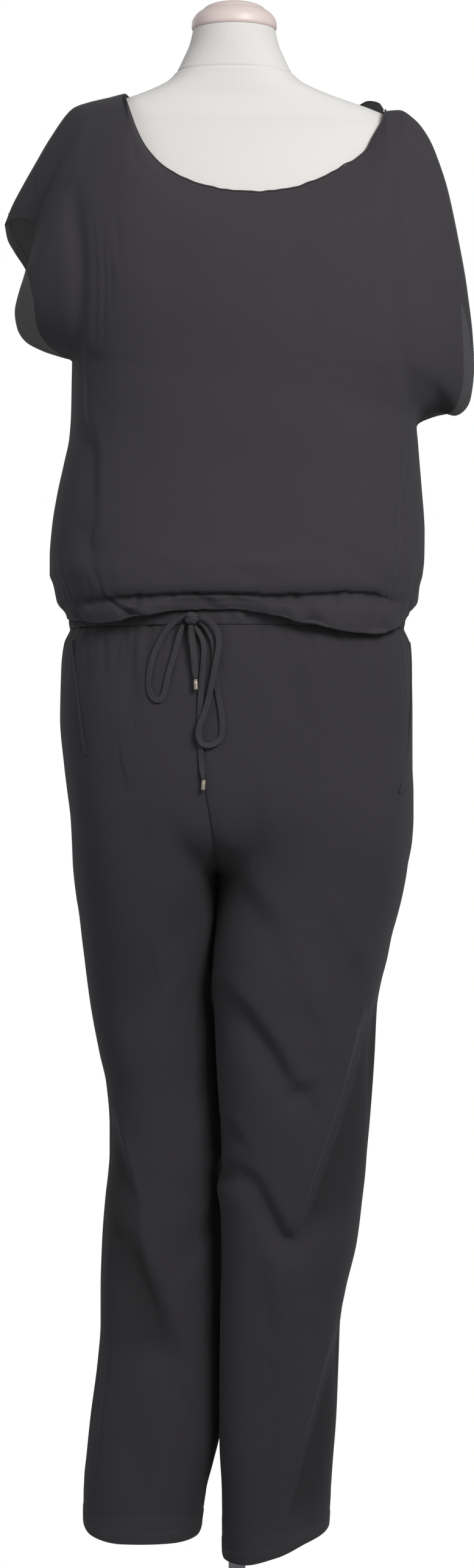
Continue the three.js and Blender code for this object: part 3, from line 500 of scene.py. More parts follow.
# place, height of the crease above the roll, height of the roll's lowest line
ROLL_FRONT = [
    [0, 1111, 1096], [0.08, 1108, 1089], [0.155, 1104, 1086], [0.2, 1104, 1084.5], [0.25, 1105.5, 1081.5],
    [0.3, 1106.5, 1083], [0.36, 1108, 1090], [0.43, 1110, 1094.5], [0.5, 1110, 1094.5],
    [0.545, 1107.5, 1090], [0.6, 1109, 1080], [0.65, 1111.5, 1075], [0.7, 1113, 1071], [0.75, 1110, 1070],
    [0.81, 1106, 1076], [0.9, 1108, 1090], [1, 1111, 1099.5]]
ROLL_BACK = [
    [0, 1111, 1100], [0.12, 1107, 1088], [0.25, 1106, 1078], [0.38, 1109, 1083], [0.5, 1112, 1076],
    [0.63, 1110, 1081], [0.78, 1106, 1074], [0.9, 1108, 1088], [1, 1111, 1099.5]]
# points of the line (x, z), width, depth, ridge beside it
FRONT_CREASES = [
    [[[-172, 1537], [-163, 1451], [-166, 1376]], 10, -6, 0],
    [[[193, 1600], [176, 1545], [167, 1490], [165, 1430]], 12, -4.5, 0],
    [[[165, 1430], [173, 1370], [185, 1302]], 11, -4, 0],
    [[[-150, 1500], [-146, 1440], [-148, 1365]], 4, -1.6, 0],
    [[[-140, 1490], [-137, 1430], [-139, 1370]], 3.5, -1.5, 0],
    [[[-131, 1470], [-129, 1400]], 3.5, -1.2, 0], [[[-125, 1500], [-121, 1450]], 3, -1, 0],
    [[[-107, 1595], [-105, 1560]], 4, -1.3, 0],
    [[[-165, 1376], [-164, 1300], [-150, 1262], [-150, 1180]], 6, -4.5, 0.6],
    [[[-166, 1190], [-150, 1148]], 12, -3, 0],
    [[[186, 1290], [180, 1240], [174, 1200], [176, 1160], [162, 1122]], 6, -4.5, -0.6],
    [[[-75, 1500], [-68, 1400]], 20, -1.6, 0], [[[62, 1480], [74, 1360]], 26, -2, 0],
    [[[10, 1240], [20, 1160]], 28, -2, 0], [[[-205, 1600], [-214, 1570], [-221, 1530]], 5, -2, 1],
    [[[200, 1612], [212, 1560], [222, 1490], [232, 1440]], 4, -1.6, 1],
    [[[120, 1545], [140, 1562]], 6, 1.2, 0], [[[100, 1160], [150, 1135]], 9, -1.6, 1],
    [[[-120, 1150], [-60, 1132]], 9, -1.3, 0.8], [[[170, 1636], [173, 1608]], 3, -1.4, 0.9],
    [[[181, 1634], [185, 1602]], 3.5, -1.5, 1], [[[193, 1624], [198, 1592]], 3.5, -1.5, 1],
    [[[-20, 1135], [50, 1128]], 7, -1, 0.6], [[[148, 1330], [140, 1220]], 16, -1.8, 0],
    [[[-110, 1330], [-100, 1200]], 22, -1.6, 0]]
BACK_CREASES = [
    [[[-165, 1520], [-158, 1450], [-156, 1390]], 11, -5, 1],
    [[[168, 1500], [163, 1420], [160, 1340]], 12, -5, 1], [[[-60, 1560], [-40, 1420]], 22, -3, 0],
    [[[70, 1540], [50, 1330]], 24, -3, 0], [[[-90, 1250], [-70, 1150]], 20, -3, 0],
    [[[60, 1240], [95, 1160]], 22, -3, 0], [[[-100, 1615], [-60, 1590], [0, 1580]], 9, -1.6, 1],
    [[[20, 1578], [80, 1596]], 8, -1.4, 1], [[[0, 1500], [6, 1380]], 14, -1.5, 0],
    [[[-20, 1300], [-10, 1180]], 16, -1.8, 0], [[[120, 1300], [128, 1180]], 12, -2, 0],
    [[[-130, 1330], [-128, 1240]], 10, -2, 0], [[[-60, 1140], [40, 1132]], 8, -1.2, 0.8]]
print("folds on the front", len(FRONT_CREASES), "and the back", len(BACK_CREASES))

# %% [markdown]
# ## The shape of a bodice panel
# The rows of a panel are half rings round the body, from 0 at its top to 24 at the casing. The first ten
# are drawn up to the overarm and the neckline and out to the sleeve's hem. The cloth is pushed clear of
# the form, so that it hangs from the shoulders and falls free below. From row 19 on it creases and rolls
# over the casing.

# %% Bodice shape
GAP = 0.15  # half the space between the front and the back
WAIST = 1097.3  # where the cloth ends inside the roll, at the casing's top edge


def bodice(front, c, r):
    """Outer face of the front or back for columns c and rows r, as a grid of points."""
    neck = NECK_FRONT if front else NECK_BACK
    top = [curve([*OVERARM_LEFT, *neck, *OVERARM_RIGHT], k)(c) for k in (1, 2, 3)]
    sides = []
    for hem, x, z in ((HEM_FRONT_LEFT if front else HEM_BACK_LEFT, 1, 2),
                      (HEM_FRONT_RIGHT if front else HEM_BACK_RIGHT, 3, 4)):
        rows = [*hem, *[[s[0], s[x], 0, s[z]] for s in SIDE_SEAMS]]
        sides.append([curve(rows, k) for k in (1, 2, 3)])
    depth, height = curve(MIDDLE, 1 if front else 2), curve(MIDDLE, 3)
    roll = ROLL_FRONT if front else ROLL_BACK
    high, low = curve(roll, 1)(c)[None, :], curve(roll, 2)(c)[None, :]

    def row(r):
        r, a, k = r[:, None], np.pi * (1 - c)[None, :], 0.22
        (xl, yl, zl), (xr, yr, zr) = [[f(r) for f in side] for side in sides]
        s, fall = (1 + np.cos(a)) / 2, smooth(0, 10, r)
        left, right = (
            np.where(r < 10, mix(side[0](0.0), side[0](10.0), fall), side[0](r)) for side in sides)
        x = (left + right) / 2 + (right - left) / 2 * np.cos(a) * (1 + k * np.sin(a) ** 2)
        x = x + (xl - left) * (1 - s) ** 8 + (xr - right) * s ** 8
        y = yl * (1 - s) ** 5 + yr * s ** 5 + depth(r) * np.sin(a) * (1 + k * np.cos(a) ** 2)
        z = mix(zl, zr, s) + (height(r) - (zl + zr) / 2) * np.sin(a) ** 2
        z = np.where(r > 19, mix(z, high, np.clip(r - 19, 0, 1)), z)
        z = np.where(r > 20, mix(high, low, np.clip((r - 20) / 2, 0, 1)), z)
        back = np.where(r < 23, 0.6 * (r - 22), np.minimum(1, 0.6 + (r - 23) * 0.6667))
        z = np.where(r > 22, mix(low, WAIST, np.clip(back, 0, 1)), z)
        return x, y, z

    x, y, z = row(r)
    x0, y0, z0 = row(np.array([0.0]))
    t = np.clip(r / 10, 0, 1)[:, None]
    wide, deep = (1 - t ** 1.5) ** 1.5, (1 - t) ** (3.5 if front else 4.5)
    x, y, z = x + wide * (top[0] - x0), y + deep * (top[1] - y0), z + wide * (top[2] - z0)
    side = -1 if front else 1
    if front:  # the roll lies flatter beside the knot
        y = y + 9 * grid(hill(20, 21, 22.2, 23.4, r), hill(0.36, 0.42, 0.5, 0.57, c))
    y = y + side * GAP
    near = form_depth(x, z + FORM_LEAN * x - (3 if front else 6), front)
    r = r[:, None]
    out = near + mix(0.8, mix(5 if front else 10, 2.5 if front else 4, smooth(1, 6, r)), smooth(0, 0.6, r))
    soft = mix(0.3, 60, smooth(0, 3, r))
    pushed = (np.abs(y) + out + np.sqrt((np.abs(y) - out) ** 2 + soft)) / 2
    y = side * mix(np.abs(y), pushed, smooth(0, 14, near) * smooth(-0.1, 0.1, r))
    return np.stack([x, y, z], -1)


# columns and rows lie closer together where these places do
C_PLACES = [0, 0.03, 0.07, 0.11, 0.15, 0.19, 0.23, 0.26, 0.27, 0.285, 0.32, 0.37, 0.43, 0.5, 0.57, 0.63, 0.68,
            0.72, 0.75, 0.77, 0.78, 0.79, 0.82, 0.85, 0.89, 0.93, 0.97, 1]
R_PLACES = [0, 0.6, 1.3, 2.1, 3, 4.2, 5.5, 6.8, 8.2, 10, 11.5, 13, 14.5, 16, 17.3, 18.4, 19.2, 20, 20.6,
            21.3, 22, 22.7, 23.6, 24]
print("columns", len(C_PLACES), "rows", len(R_PLACES), "before they are made denser")

# %% [markdown]
# ## The folds of a bodice panel
# Folds are small moves of the cloth along its own normal: long soft creases, gathers above and below the
# crease of the roll, the crease itself, which is deepest by the knot and fades towards the sides, and
# pointed tucks across it.

# %% Bodice folds
ROLL_CREASE = 1112  # the gathers rise above this height and fall below it
# place along the panel, depth of the crease above the roll
FRONT_LINE = [[0, 0], [0.12, 0.2], [0.22, 2.2], [0.33, 3.2], [0.45, 4.8], [0.55, 4.2], [0.68, 2.6],
              [0.8, 0.6], [1, 0]]
BACK_LINE = [[0, 0.6], [0.2, 2], [0.4, 3.4], [0.55, 2.4], [0.75, 3], [1, 0.6]]
# place, lean, width, depth of a tuck across the roll; the last twelve are the small gathers by the knot
SMALL_TUCKS = [[0.355 + 0.0185 * i + 0.004 * (i * 7 % 5 - 2), 0.012 * (i % 3 - 1), 1.2 + 0.25 * (i % 4),
                0.9 + 0.35 * (i * 5 % 4)] for i in range(12)]
FRONT_TUCKS = [[0.19, -0.02, 5, 2], [0.285, 0.05, 3.2, 3.4], [0.345, -0.03, 3, 2.6], [0.44, 0.03, 3.4, 1.8],
               [0.52, -0.02, 3.2, 2.2], [0.585, 0.03, 4, 2.6], [0.66, -0.03, 5, 2], [0.74, 0.02, 6, 2.4],
               *SMALL_TUCKS]
BACK_TUCKS = [[0.12, 0.02, 5, 2], [0.24, -0.03, 4, 2.6], [0.36, 0.03, 5, 2], [0.47, -0.02, 4, 3],
              [0.58, 0.02, 5, 2.2], [0.7, -0.03, 4, 2.4], [0.84, 0.02, 5, 1.8]]


def bodice_folds(P, front, c, r):
    """How far each point of the panel moves outwards."""
    X, Z = P[..., 0], P[..., 2]
    S = np.cumsum(np.linalg.norm(np.diff(P, axis=1, prepend=P[:, :1]), axis=2), axis=1)
    S = S[len(r) * 3 // 4][None, :] * np.ones((len(r), 1))
    last = S.max()
    edge = hill(0, 0.03, 0.97, 1, c)[None, :]
    body = 1 - smooth(19.3, 20.2, r)[:, None]
    calm = grid(smooth(0, 1.2, r), hill(0, 0.05, 0.95, 1, c))
    move = crease(X, Z, FRONT_CREASES if front else BACK_CREASES) * calm * body
    above = pleats(S, Z, 5 if front else 6, 46, 12, last - 12, ROLL_CREASE, 62, 1.5, down=False)
    below = pleats(S, Z, 7 if front else 8, 40, 10, last - 10, ROLL_CREASE, 30, 1.6)
    move += above * edge * body * smooth(14, 16, r)[:, None]
    move += 1.7 * below * edge * hill(19.8, 20.3, 21.3, 22, r)[:, None]
    line = np.interp(c, *zip(*(FRONT_LINE if front else BACK_LINE)))
    move -= line * edge * np.exp(-((r - 20.05) / 0.32) ** 2)[:, None]
    ends = 1 - smooth(0.08, 0.24, c) + smooth(0.78, 0.92, c)
    move += 5 * ends * edge * np.exp(-((r - 20.2) / 1.0) ** 2)[:, None]
    for at, lean, width, deep in (FRONT_TUCKS if front else BACK_TUCKS):
        across = (c[None, :] - at - lean * (r[:, None] - 20) / 2) * last
        across = across / (width * (1 + 0.9 * np.clip(r[:, None] - 20, 0, 2)))
        shape = deep * np.exp(-across ** 2) - 0.5 * deep * np.exp(-((across - 1.7) / 1.2) ** 2)
        move -= shape * hill(19.2, 20.1, 21.9, 22.8, r)[:, None]
    return move


print("tucks on the front", len(FRONT_TUCKS), "and the back", len(BACK_TUCKS))

# %% [markdown]
# ## Making the two panels
# The turn under each end of the neckline is softened, because a light cloth falls away from the shoulder
# in a curve. Towards the side seams the cloth runs on into the roll without a line. Each panel keeps to
# its own side of the seams, so that the front and the back never cross.

# %% Bodice panels
def apart(side):
    """Holds points on one side of the plane of the side seams."""
    def keep(Q):
        Q = Q.copy()
        Q[..., 1] = side * np.maximum(side * Q[..., 1], GAP)
        return Q
    return keep


panels, areas = {}, {}
for front in (True, False):
    name, side = ("bodice front", -1) if front else ("bodice back", 1)
    c, r = spread(C_PLACES, int(190 * FINE)), spread(R_PLACES, int(190 * FINE))
    P = bodice(front, c, r)
    under_neck = grid(hill(0.3, 2.4, 9, 13, r), hill(0.1, 0.2, 0.8, 0.9, c))
    P = mix(P, blur(P, 9, 1), under_neck[..., None])
    near_sides = grid(hill(18, 19, 21.1, 21.9, r), 1 - smooth(0.08, 0.22, c) + smooth(0.78, 0.9, c))
    P = mix(P, blur(P, 8, 0), near_sides[..., None])
    P = P + normals(P, side) * bodice_folds(P, front, c, r)[..., None]
    keep = apart(side)
    o, areas[name] = shell(name, keep(P), side, CREPE, keep=keep)
    panels[name] = (P, c, r)
    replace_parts(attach(o, "root"), name.replace(" ", "_"))
    print(name, len(o.data.polygons), "faces", round(areas[name], 3), "m2")

# %% [markdown]
# ## The waist and its casing
# The drawstring runs inside a narrow casing. It's pulled a little tighter than the cloth, so the casing
# puckers.

# %% Casing
RING_WIDE, RING_FRONT, RING_BACK = 178, 133.3, 118.9  # half width of the casing's ring and its depths
RING_SQUARE = 0.2  # how square the ring is
CASING_TOP, CASING_FOOT = 1097, 1080
a = np.linspace(0, 2 * np.pi, int(640 * FINE), endpoint=False)[None, :]
v = np.linspace(0, 1, 14)[:, None]
rng = np.random.default_rng(11)
wave = sum(rng.uniform(0.2, 0.5) * np.cos(k * a + rng.uniform(0, 6.3)) for k in (23, 31, 44, 57, 71))
pucker = sum(rng.uniform(0.1, 0.3) * np.cos(k * a + 2 * v + rng.uniform(0, 6.3)) for k in (83, 101, 127))
swell = 1.3 * np.sin(np.pi * v) * (0.7 + 0.6 * wave) + 0.35 * wave * (1 - v) + 0.9 * pucker - 0.5
x = (RING_WIDE + swell) * np.cos(a) * (1 + RING_SQUARE * np.sin(a) ** 2)
y = (np.where(np.sin(a) < 0, RING_FRONT, RING_BACK) + swell) * np.sin(a) * (1 + RING_SQUARE * np.cos(a) ** 2)
P = np.stack([x, y, mix(CASING_TOP, CASING_FOOT, v) + 0 * a], -1)
casing, areas["waist casing"] = shell("waist casing", P, -1, CREPE, thick=1.4, ring=True)
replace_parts(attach(casing, "root"), "waist_casing")
print("casing", round(areas["waist casing"], 4), "m2")

# %% [markdown]
# ## The trousers
# Each leg has a front and a back. Their inner edge runs down the middle of the body, curves under at the
# fork and goes on as the seam between the legs. Below the casing the cloth falls in uneven gathers. The
# stand has no legs, so the cloth hangs free and breaks into diagonal folds at the knees.

# %% Leg tables
# height, outer x and y, inner x in front and behind, inner y, depth in front and behind
LEG_RIGHT = [
    [1079.7, 178, 0, -45, 10, 0, 133.3, 118.9], [1065, 184, 0, -44, 9, 0, 135, 122],
    [1038, 186, 0, -42, 7, 0, 136.5, 127], [986, 187, 0, -39, 2, 0, 137, 133],
    [934, 187, 0, -36, -4, 0, 136, 136], [907, 188, 0, -33, -8, 0, 134, 136],
    [882, 188, 0, -28.5, -12, 0, 131, 135], [855, 186.5, 0, -25, -16, 0, 127, 132],
    [830, 182, 0, -21, -19, 0, 121, 126], [818, 180.3, 0, -20.3, -20.3, 0, 118.6, 123.3],
    [796, 176.2, 0, -20, -20, -13, 113.2, 117.3], [776, 171.5, 0, -21, -21, -22, 109, 112],
    [752, 165, 0, -23.5, -23.5, -27, 105, 107], [726, 160, 0, -25.5, -25.5, -30, 101, 103],
    [700, 153.5, 0, -27, -27, -31, 97, 100], [674, 149.5, 0, -24, -24, -31, 93, 97],
    [622, 147, 0, -21.5, -21.5, -32, 86, 92], [590, 145, 0, -19, -19, -32, 82, 88],
    [544, 141.5, 0, -16.5, -16.5, -31, 78, 84], [511, 138.5, 0, -16, -16, -30, 75, 81],
    [490, 137, 0, -21, -21, -30, 73, 79], [463, 134, 0, -17, -17, -29, 71, 77],
    [414, 128, 0, -16, -16, -28, 68, 74], [362, 116, 0, -17.5, -17.5, -26, 64, 71],
    [325, 110, 0, -18, -18, -24, 61, 69], [284, 108.5, 0, -18.5, -18.5, -22, 59, 67],
    [220, 106, 0, -18.5, -18.5, -19, 57, 65], [167, 102, 0, -16, -16, -14, 56, 63],
    [120, 99, 0, -15.5, -15.5, -10, 56, 61], [85, 97, 0, -15, -15, -8, 56, 60]]
LEG_LEFT = [
    [1079.7, -178, 0, -45, 10, 0, 133.3, 118.9], [1065, -184.5, 0, -44, 9, 0, 135, 122],
    [1038, -187.5, 0, -42, 7, 0, 136.5, 127], [986, -188.5, 0, -39, 2, 0, 137, 133],
    [934, -184, 0, -36, -4, 0, 136, 136], [907, -180.7, 0, -33, -8, 0, 134, 136],
    [882, -177.5, 0, -28.5, -12, 0, 131, 135], [855, -176, 0, -25, -16, 0, 127, 132],
    [830, -175, 0, -21, -19, 0, 121, 126], [818, -174, 0, -20.3, -20.3, 0, 118.6, 123.3],
    [796, -171.5, 1, -20, -20, 14, 113.2, 117.3], [776, -168.5, 4, -20.3, -20.3, 24, 109, 112],
    [752, -166, 8, -21.5, -21.5, 30, 105, 107], [726, -163, 11, -22.5, -22.5, 35, 101, 103],
    [700, -160, 13, -22.5, -22.5, 36, 97, 100], [674, -156.5, 14, -20.5, -20.5, 36, 94, 97],
    [622, -147, 14, -17.5, -17.5, 36, 88, 92], [590, -140, 14, -15.5, -15.5, 36, 84, 88],
    [544, -136.5, 14, -12.5, -12.5, 36, 80, 84], [511, -136.5, 13, -12.5, -12.5, 35, 77, 81],
    [490, -138, 13, -14, -14, 35, 75, 79], [463, -141, 12, -13.5, -13.5, 34, 73, 77],
    [414, -144.5, 11, -13, -13, 33, 70, 74], [362, -146, 10, -13, -13, 31, 66, 71],
    [325, -146, 10, -13, -13, 29, 63, 69], [284, -149, 9, -13.5, -13.5, 26, 61, 67],
    [220, -157, 8, -17, -17, 21, 59, 65], [180, -161, 8, -26, -26, 17, 58, 63],
    [154, -163.5, 8, -33, -33, 13, 57, 62], [120, -164, 8, -38, -38, 11, 56, 61]]
# place from the inner edge to the outer seam, height of the hem in front and behind
HEM_RIGHT = [
    [0, 101, 103], [0.12, 95, 101], [0.3, 94, 100], [0.5, 103, 104], [0.68, 117, 112], [0.85, 124, 120],
    [1, 129, 129]]
HEM_LEFT = [
    [0, 127, 128], [0.15, 117, 124], [0.35, 114, 121], [0.6, 114, 120], [0.8, 119, 123], [0.93, 127, 128],
    [1, 134, 134]]
# points of the line (x, z), width, depth, ridge beside it
LEG_CREASES = [
    [[[-19, 703], [10, 672], [33, 640], [52, 606], [72, 590]], 8, -8.5, 1.5],
    [[[-14, 828], [4, 800], [38, 756]], 13, -5, 1.5],
    [[[-14, 510], [2, 511], [18, 500], [32, 474], [46, 446], [60, 438], [70, 450], [82, 486],
      [102, 540], [122, 598], [140, 672]], 7, -11, 1.6],
    [[[94, 466], [114, 530], [134, 600], [150, 660]], 15, -4.5, 0], [[[-12, 560], [6, 540]], 6, -3, 1.5],
    [[[110, 338], [86, 258], [56, 158]], 5.5, -6, -1.6],
    [[[-134, 566], [-120, 512], [-107, 465]], 5, -4.5, 2.5],
    [[[-120, 430], [-92, 372], [-64, 296]], 12, -10.5, 1.6],
    [[[-140, 330], [-150, 240], [-154, 180]], 5, -2.4, 1.6], [[[40, 300], [30, 160]], 18, -3, 0],
    [[[-110, 250], [-100, 150]], 16, -3.4, 0], [[[-60, 640], [-74, 480]], 20, -4, 1.5],
    [[[112, 905], [100, 780]], 24, -4.5, 2], [[[-112, 900], [-90, 760]], 24, -4.5, 2],
    [[[100, 770], [122, 700]], 12, -3.4, 1.8], [[[-34, 812], [-60, 730]], 11, -4, 1.5],
    [[[46, 588], [88, 604]], 6, -2.6, 1.6], [[[20, 430], [34, 330]], 11, -3, 1],
    [[[-80, 720], [-114, 640]], 12, -3.4, 1.6], [[[-30, 452], [-58, 400]], 9, -3, 1.2],
    [[[96, 440], [84, 360]], 10, -2.6, 1], [[[-30, 620], [-44, 560]], 9, -2.4, 1],
    [[[60, 700], [84, 650]], 9, -2.2, 1], [[[-100, 330], [-128, 250]], 9, -2.2, 1],
    [[[20, 905], [14, 850]], 10, -2, 0.8], [[[60, 1060], [66, 975]], 9, -2.2, 1],
    [[[-112, 1062], [-106, 990]], 8, -2, 0.8], [[[120, 1060], [112, 1000]], 8, -2, 0.8]]
SEAT_CREASES = [
    [[[-90, 900], [-50, 820]], 18, -5, 1], [[[80, 905], [40, 815]], 18, -5, 1],
    [[[-100, 760], [-70, 640]], 18, -4, 0], [[[110, 740], [50, 640]], 16, -4, 1],
    [[[30, 540], [70, 496], [104, 470]], 12, -5, 2], [[[-60, 500], [-96, 460], [-130, 430]], 12, -5, 2],
    [[[-90, 330], [-60, 210]], 15, -4, 0], [[[90, 360], [50, 230]], 15, -4, 0],
    [[[-20, 470], [20, 440]], 8, -2.4, 1], [[[-140, 540], [-100, 520]], 8, -2.4, 1],
    [[[60, 300], [90, 200]], 10, -2, 1], [[[-120, 240], [-110, 150]], 12, -2, 0]]
# painted shade beyond a fold, where a front panel turns away from the light: which leg, the fold's line, how
# far it goes outwards
PAINTED_SHADE_STRIPS = [[-1, [[-64, 296], [-92, 400], [-107, 465], [-120, 512], [-134, 566], [-150, 628], [-158, 660]], 62],
          [1, [[62, 440], [82, 486], [102, 540], [122, 598], [140, 672], [148, 690]], 74],
          [1, [[50, 130], [56, 158], [86, 258], [110, 338], [114, 352]], 66]]
print("folds on the front", len(LEG_CREASES), "and the back", len(SEAT_CREASES))

# %% [markdown]
# ## The shape of a trouser panel
# Down to the fork a panel is a quarter of the hips' ring. Round the fork its inner edge turns under, and
# from there on it is half of the leg's own ring. All four panels come from the same function, with a table
# for each leg.

# %% Leg shape
LEG_TOP, FORK_TOP, FORK_FOOT = 1079.7, 945, 820


def leg(side, front, u, v):
    """Outer face of one panel. Columns u: 0 the inner edge, 1 the outer seam. Rows v: 0 to 1 the hips, 1 to 2
    round the fork, 2 to 3 the leg."""
    rows, hems = (LEG_RIGHT, HEM_RIGHT) if side > 0 else (LEG_LEFT, HEM_LEFT)
    out_x, out_y, in_front, in_back, in_y, deep_front, deep_back = (curve(rows, k) for k in range(1, 8))
    out, in_x, deep, hem = (-1, in_front, deep_front, curve(hems, 1)) if front else (
        1, in_back, deep_back, curve(hems, 2))
    u, v = u[None, :], v[:, None]
    w = np.clip(v - 1, 0, 1)
    inner = np.where(v < 1, mix(LEG_TOP, FORK_TOP, v), mix(FORK_FOOT, FORK_TOP, (1 - w) ** 2.4))
    outer = np.where(v < 1, inner, mix(FORK_TOP, FORK_FOOT, w))
    shift = np.arcsin(-side * rows[0][3 if front else 4] / RING_WIDE) * smooth(FORK_TOP, LEG_TOP, inner)
    start = np.pi / 2 + np.where(v < 1, shift, np.pi / 2 * smooth(0, 1, w))
    a = start * (1 - u)
    k = RING_SQUARE * mix(1, 0.4, smooth(0, 1, w))
    across, edge = np.cos(a) * (1 + k * np.sin(a) ** 2), np.cos(start) * (1 + k * np.sin(start) ** 2)
    s = (across - edge) / (1 - edge)
    z = np.where(v > 2, mix(FORK_FOOT, hem(u), v - 2), mix(inner, outer, smooth(0, 1, s)))
    at = np.where(v > 2, mix(FORK_FOOT, hem(0.5), v - 2), z)
    x = mix(in_x(at) + side * mix(-0.25, GAP, smooth(835, 860, at)), out_x(at), s)
    mid = (in_y(at) + out_y(at)) / 2 * (1 - smooth(660, FORK_FOOT, at))
    y = mid + (in_y(at) - mid) * (1 - s) ** 3 + (out_y(at) - mid) * s ** 3
    y = y + out * deep(at) * np.sin(a) * (1 + k * np.cos(a) ** 2)
    return np.stack([x, y + out * GAP, z], -1)


print("the fork is", FORK_TOP - FORK_FOOT, "mm deep and the panels hang from", LEG_TOP, "mm")

# %% [markdown]
# ## The folds of a trouser panel
# The cloth bridges the turn of the fork, so each column of points is smoothed by height there. Gathers
# fall from the casing in two lengths. Two small steps near the foot show the folded hem and its row of
# stitches. Beyond the long folds of the knee each front takes a painted shade, kept as an attribute of the
# mesh, where the cloth turns away from the light.

# %% Leg folds
LEVELS, BELL = np.arange(560, 1090, 2.0), np.exp(-(np.arange(-36, 37) / 13) ** 2 / 2)
BELL /= BELL.sum()
STITCHED = 12.5  # how far the stitches are from an edge
LONG_GATHERS, SHORT_GATHERS = 24, 16  # on each panel


def bridge(P, u):
    """The panel with the turn of its fork made gentle, away from its seams."""
    flat = P.copy()
    for column in range(len(u)):
        at = P[::-1, column, 2]
        for axis in (0, 1):
            line = np.pad(np.interp(LEVELS, at, P[::-1, column, axis]), len(BELL) // 2, mode="edge")
            flat[:, column, axis] = np.interp(P[:, column, 2], LEVELS, np.convolve(line, BELL, "valid"))
    ease = hill(640, 730, 940, 1030, P[..., 2]) * hill(0.04, 0.22, 0.82, 0.97, u)[None, :]
    return mix(P, flat, ease[..., None])


def leg_folds(P, side, front, u, v):
    """How far each point of the panel moves outwards."""
    Z, up = P[..., 2], P[..., 2] - P[-1, :, 2]
    S = np.cumsum(np.linalg.norm(np.diff(P, axis=1, prepend=P[:, :1]), axis=2), axis=1)
    S = S[0][None, :] * np.ones((len(v), 1))
    edge = hill(0, 0.03, 0.97, 1, u)[None, :]
    calm = grid(smooth(0.02, 0.2, v), hill(0, 0.07, 0.93, 1, u))
    move = crease(P[..., 0], Z, LEG_CREASES if front else SEAT_CREASES) * calm
    seed = 20 + side + 3 * front
    move += pleats(S, Z, seed, LONG_GATHERS, 6, S.max() - 6, CASING_FOOT, 120, 1.7) * edge
    move += pleats(S, Z, seed + 9, SHORT_GATHERS, 6, S.max() - 6, CASING_FOOT, 36, 1.5) * edge
    hem = 0.3 * (1 - smooth(31.5, 32.8, up)) + 0.5 * (1 - smooth(11.5, 13.5, up))
    return move + hem - 0.3 * np.exp(-((up - STITCHED) / 1.2) ** 2)


def painted_shade_share(X, Z, side):
    """How much painted shade each point takes beyond the folds, from 0 to 1."""
    total = np.zeros_like(X)
    for which, line, broad in PAINTED_SHADE_STRIPS:
        if which == side:
            x, z = zip(*line)
            beyond = side * (X - np.interp(Z, z, x))
            ends = hill(z[0], z[0] + 40, z[-1] - 30, z[-1], Z)
            total += ends * smooth(-1.5, 2.5, beyond) * (1 - 0.8 * smooth(0.2 * broad, broad, beyond))
    return total


print("gathers on each panel", LONG_GATHERS + SHORT_GATHERS)

# %% [markdown]
# ## Making the four panels
# Each panel replaces two solids, because a plain solid of a whole leg was parted at mid-thigh. The cloth
# itself is one piece from the casing to the hem.

# %% Leg panels
V_PLACES = [*np.linspace(0, 0.42, 7), *np.linspace(0.5, 1, 5), *np.linspace(1, 2, 11)[1:],
            *np.linspace(2, 2.974, 20)[1:], 2.982, 2.991, 3]
for side in (-1, 1):
    for front in (True, False):
        name = f"trouser {'front' if front else 'back'} {'left' if side < 0 else 'right'}"
        u, v = np.linspace(0, 1, int(110 * FINE)), spread(V_PLACES, int(260 * FINE))
        P = bridge(leg(side, front, u, v), u)
        out = side * (-1 if front else 1)
        P = P + normals(P, out) * leg_folds(P, side, front, u, v)[..., None]
        o, areas[name] = shell(name, P, out, LEGS)
        if front:
            # painted shade beyond the knee folds, stored on each front as a mesh attribute
            at = np.empty(len(o.data.vertices) * 3, np.float32)
            o.data.vertices.foreach_get("co", at)
            share = painted_shade_share(at[0::3] / MM, at[2::3] / MM, side).astype(np.float32)
            o.data.attributes.new("painted_shade", "FLOAT", "POINT").data.foreach_set("value", share)
        panels[name] = (P, u, v)
        node = name.replace(" ", "_")
        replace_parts(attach(o, "root"), node, f"{node}_lower")
        print(name, len(o.data.polygons), "faces", round(areas[name], 3), "m2")

# %% [markdown]
# ## The drawstring
# A flat tube of the same crepe comes out of the casing and is tied in a bow with one long loop. Each line
# below starts at the knot and is given as x, how far its middle stands off the trousers, and z. The tube
# turns as it falls, so that it's seen now broad, now on edge. Its free ends carry small metal tips.

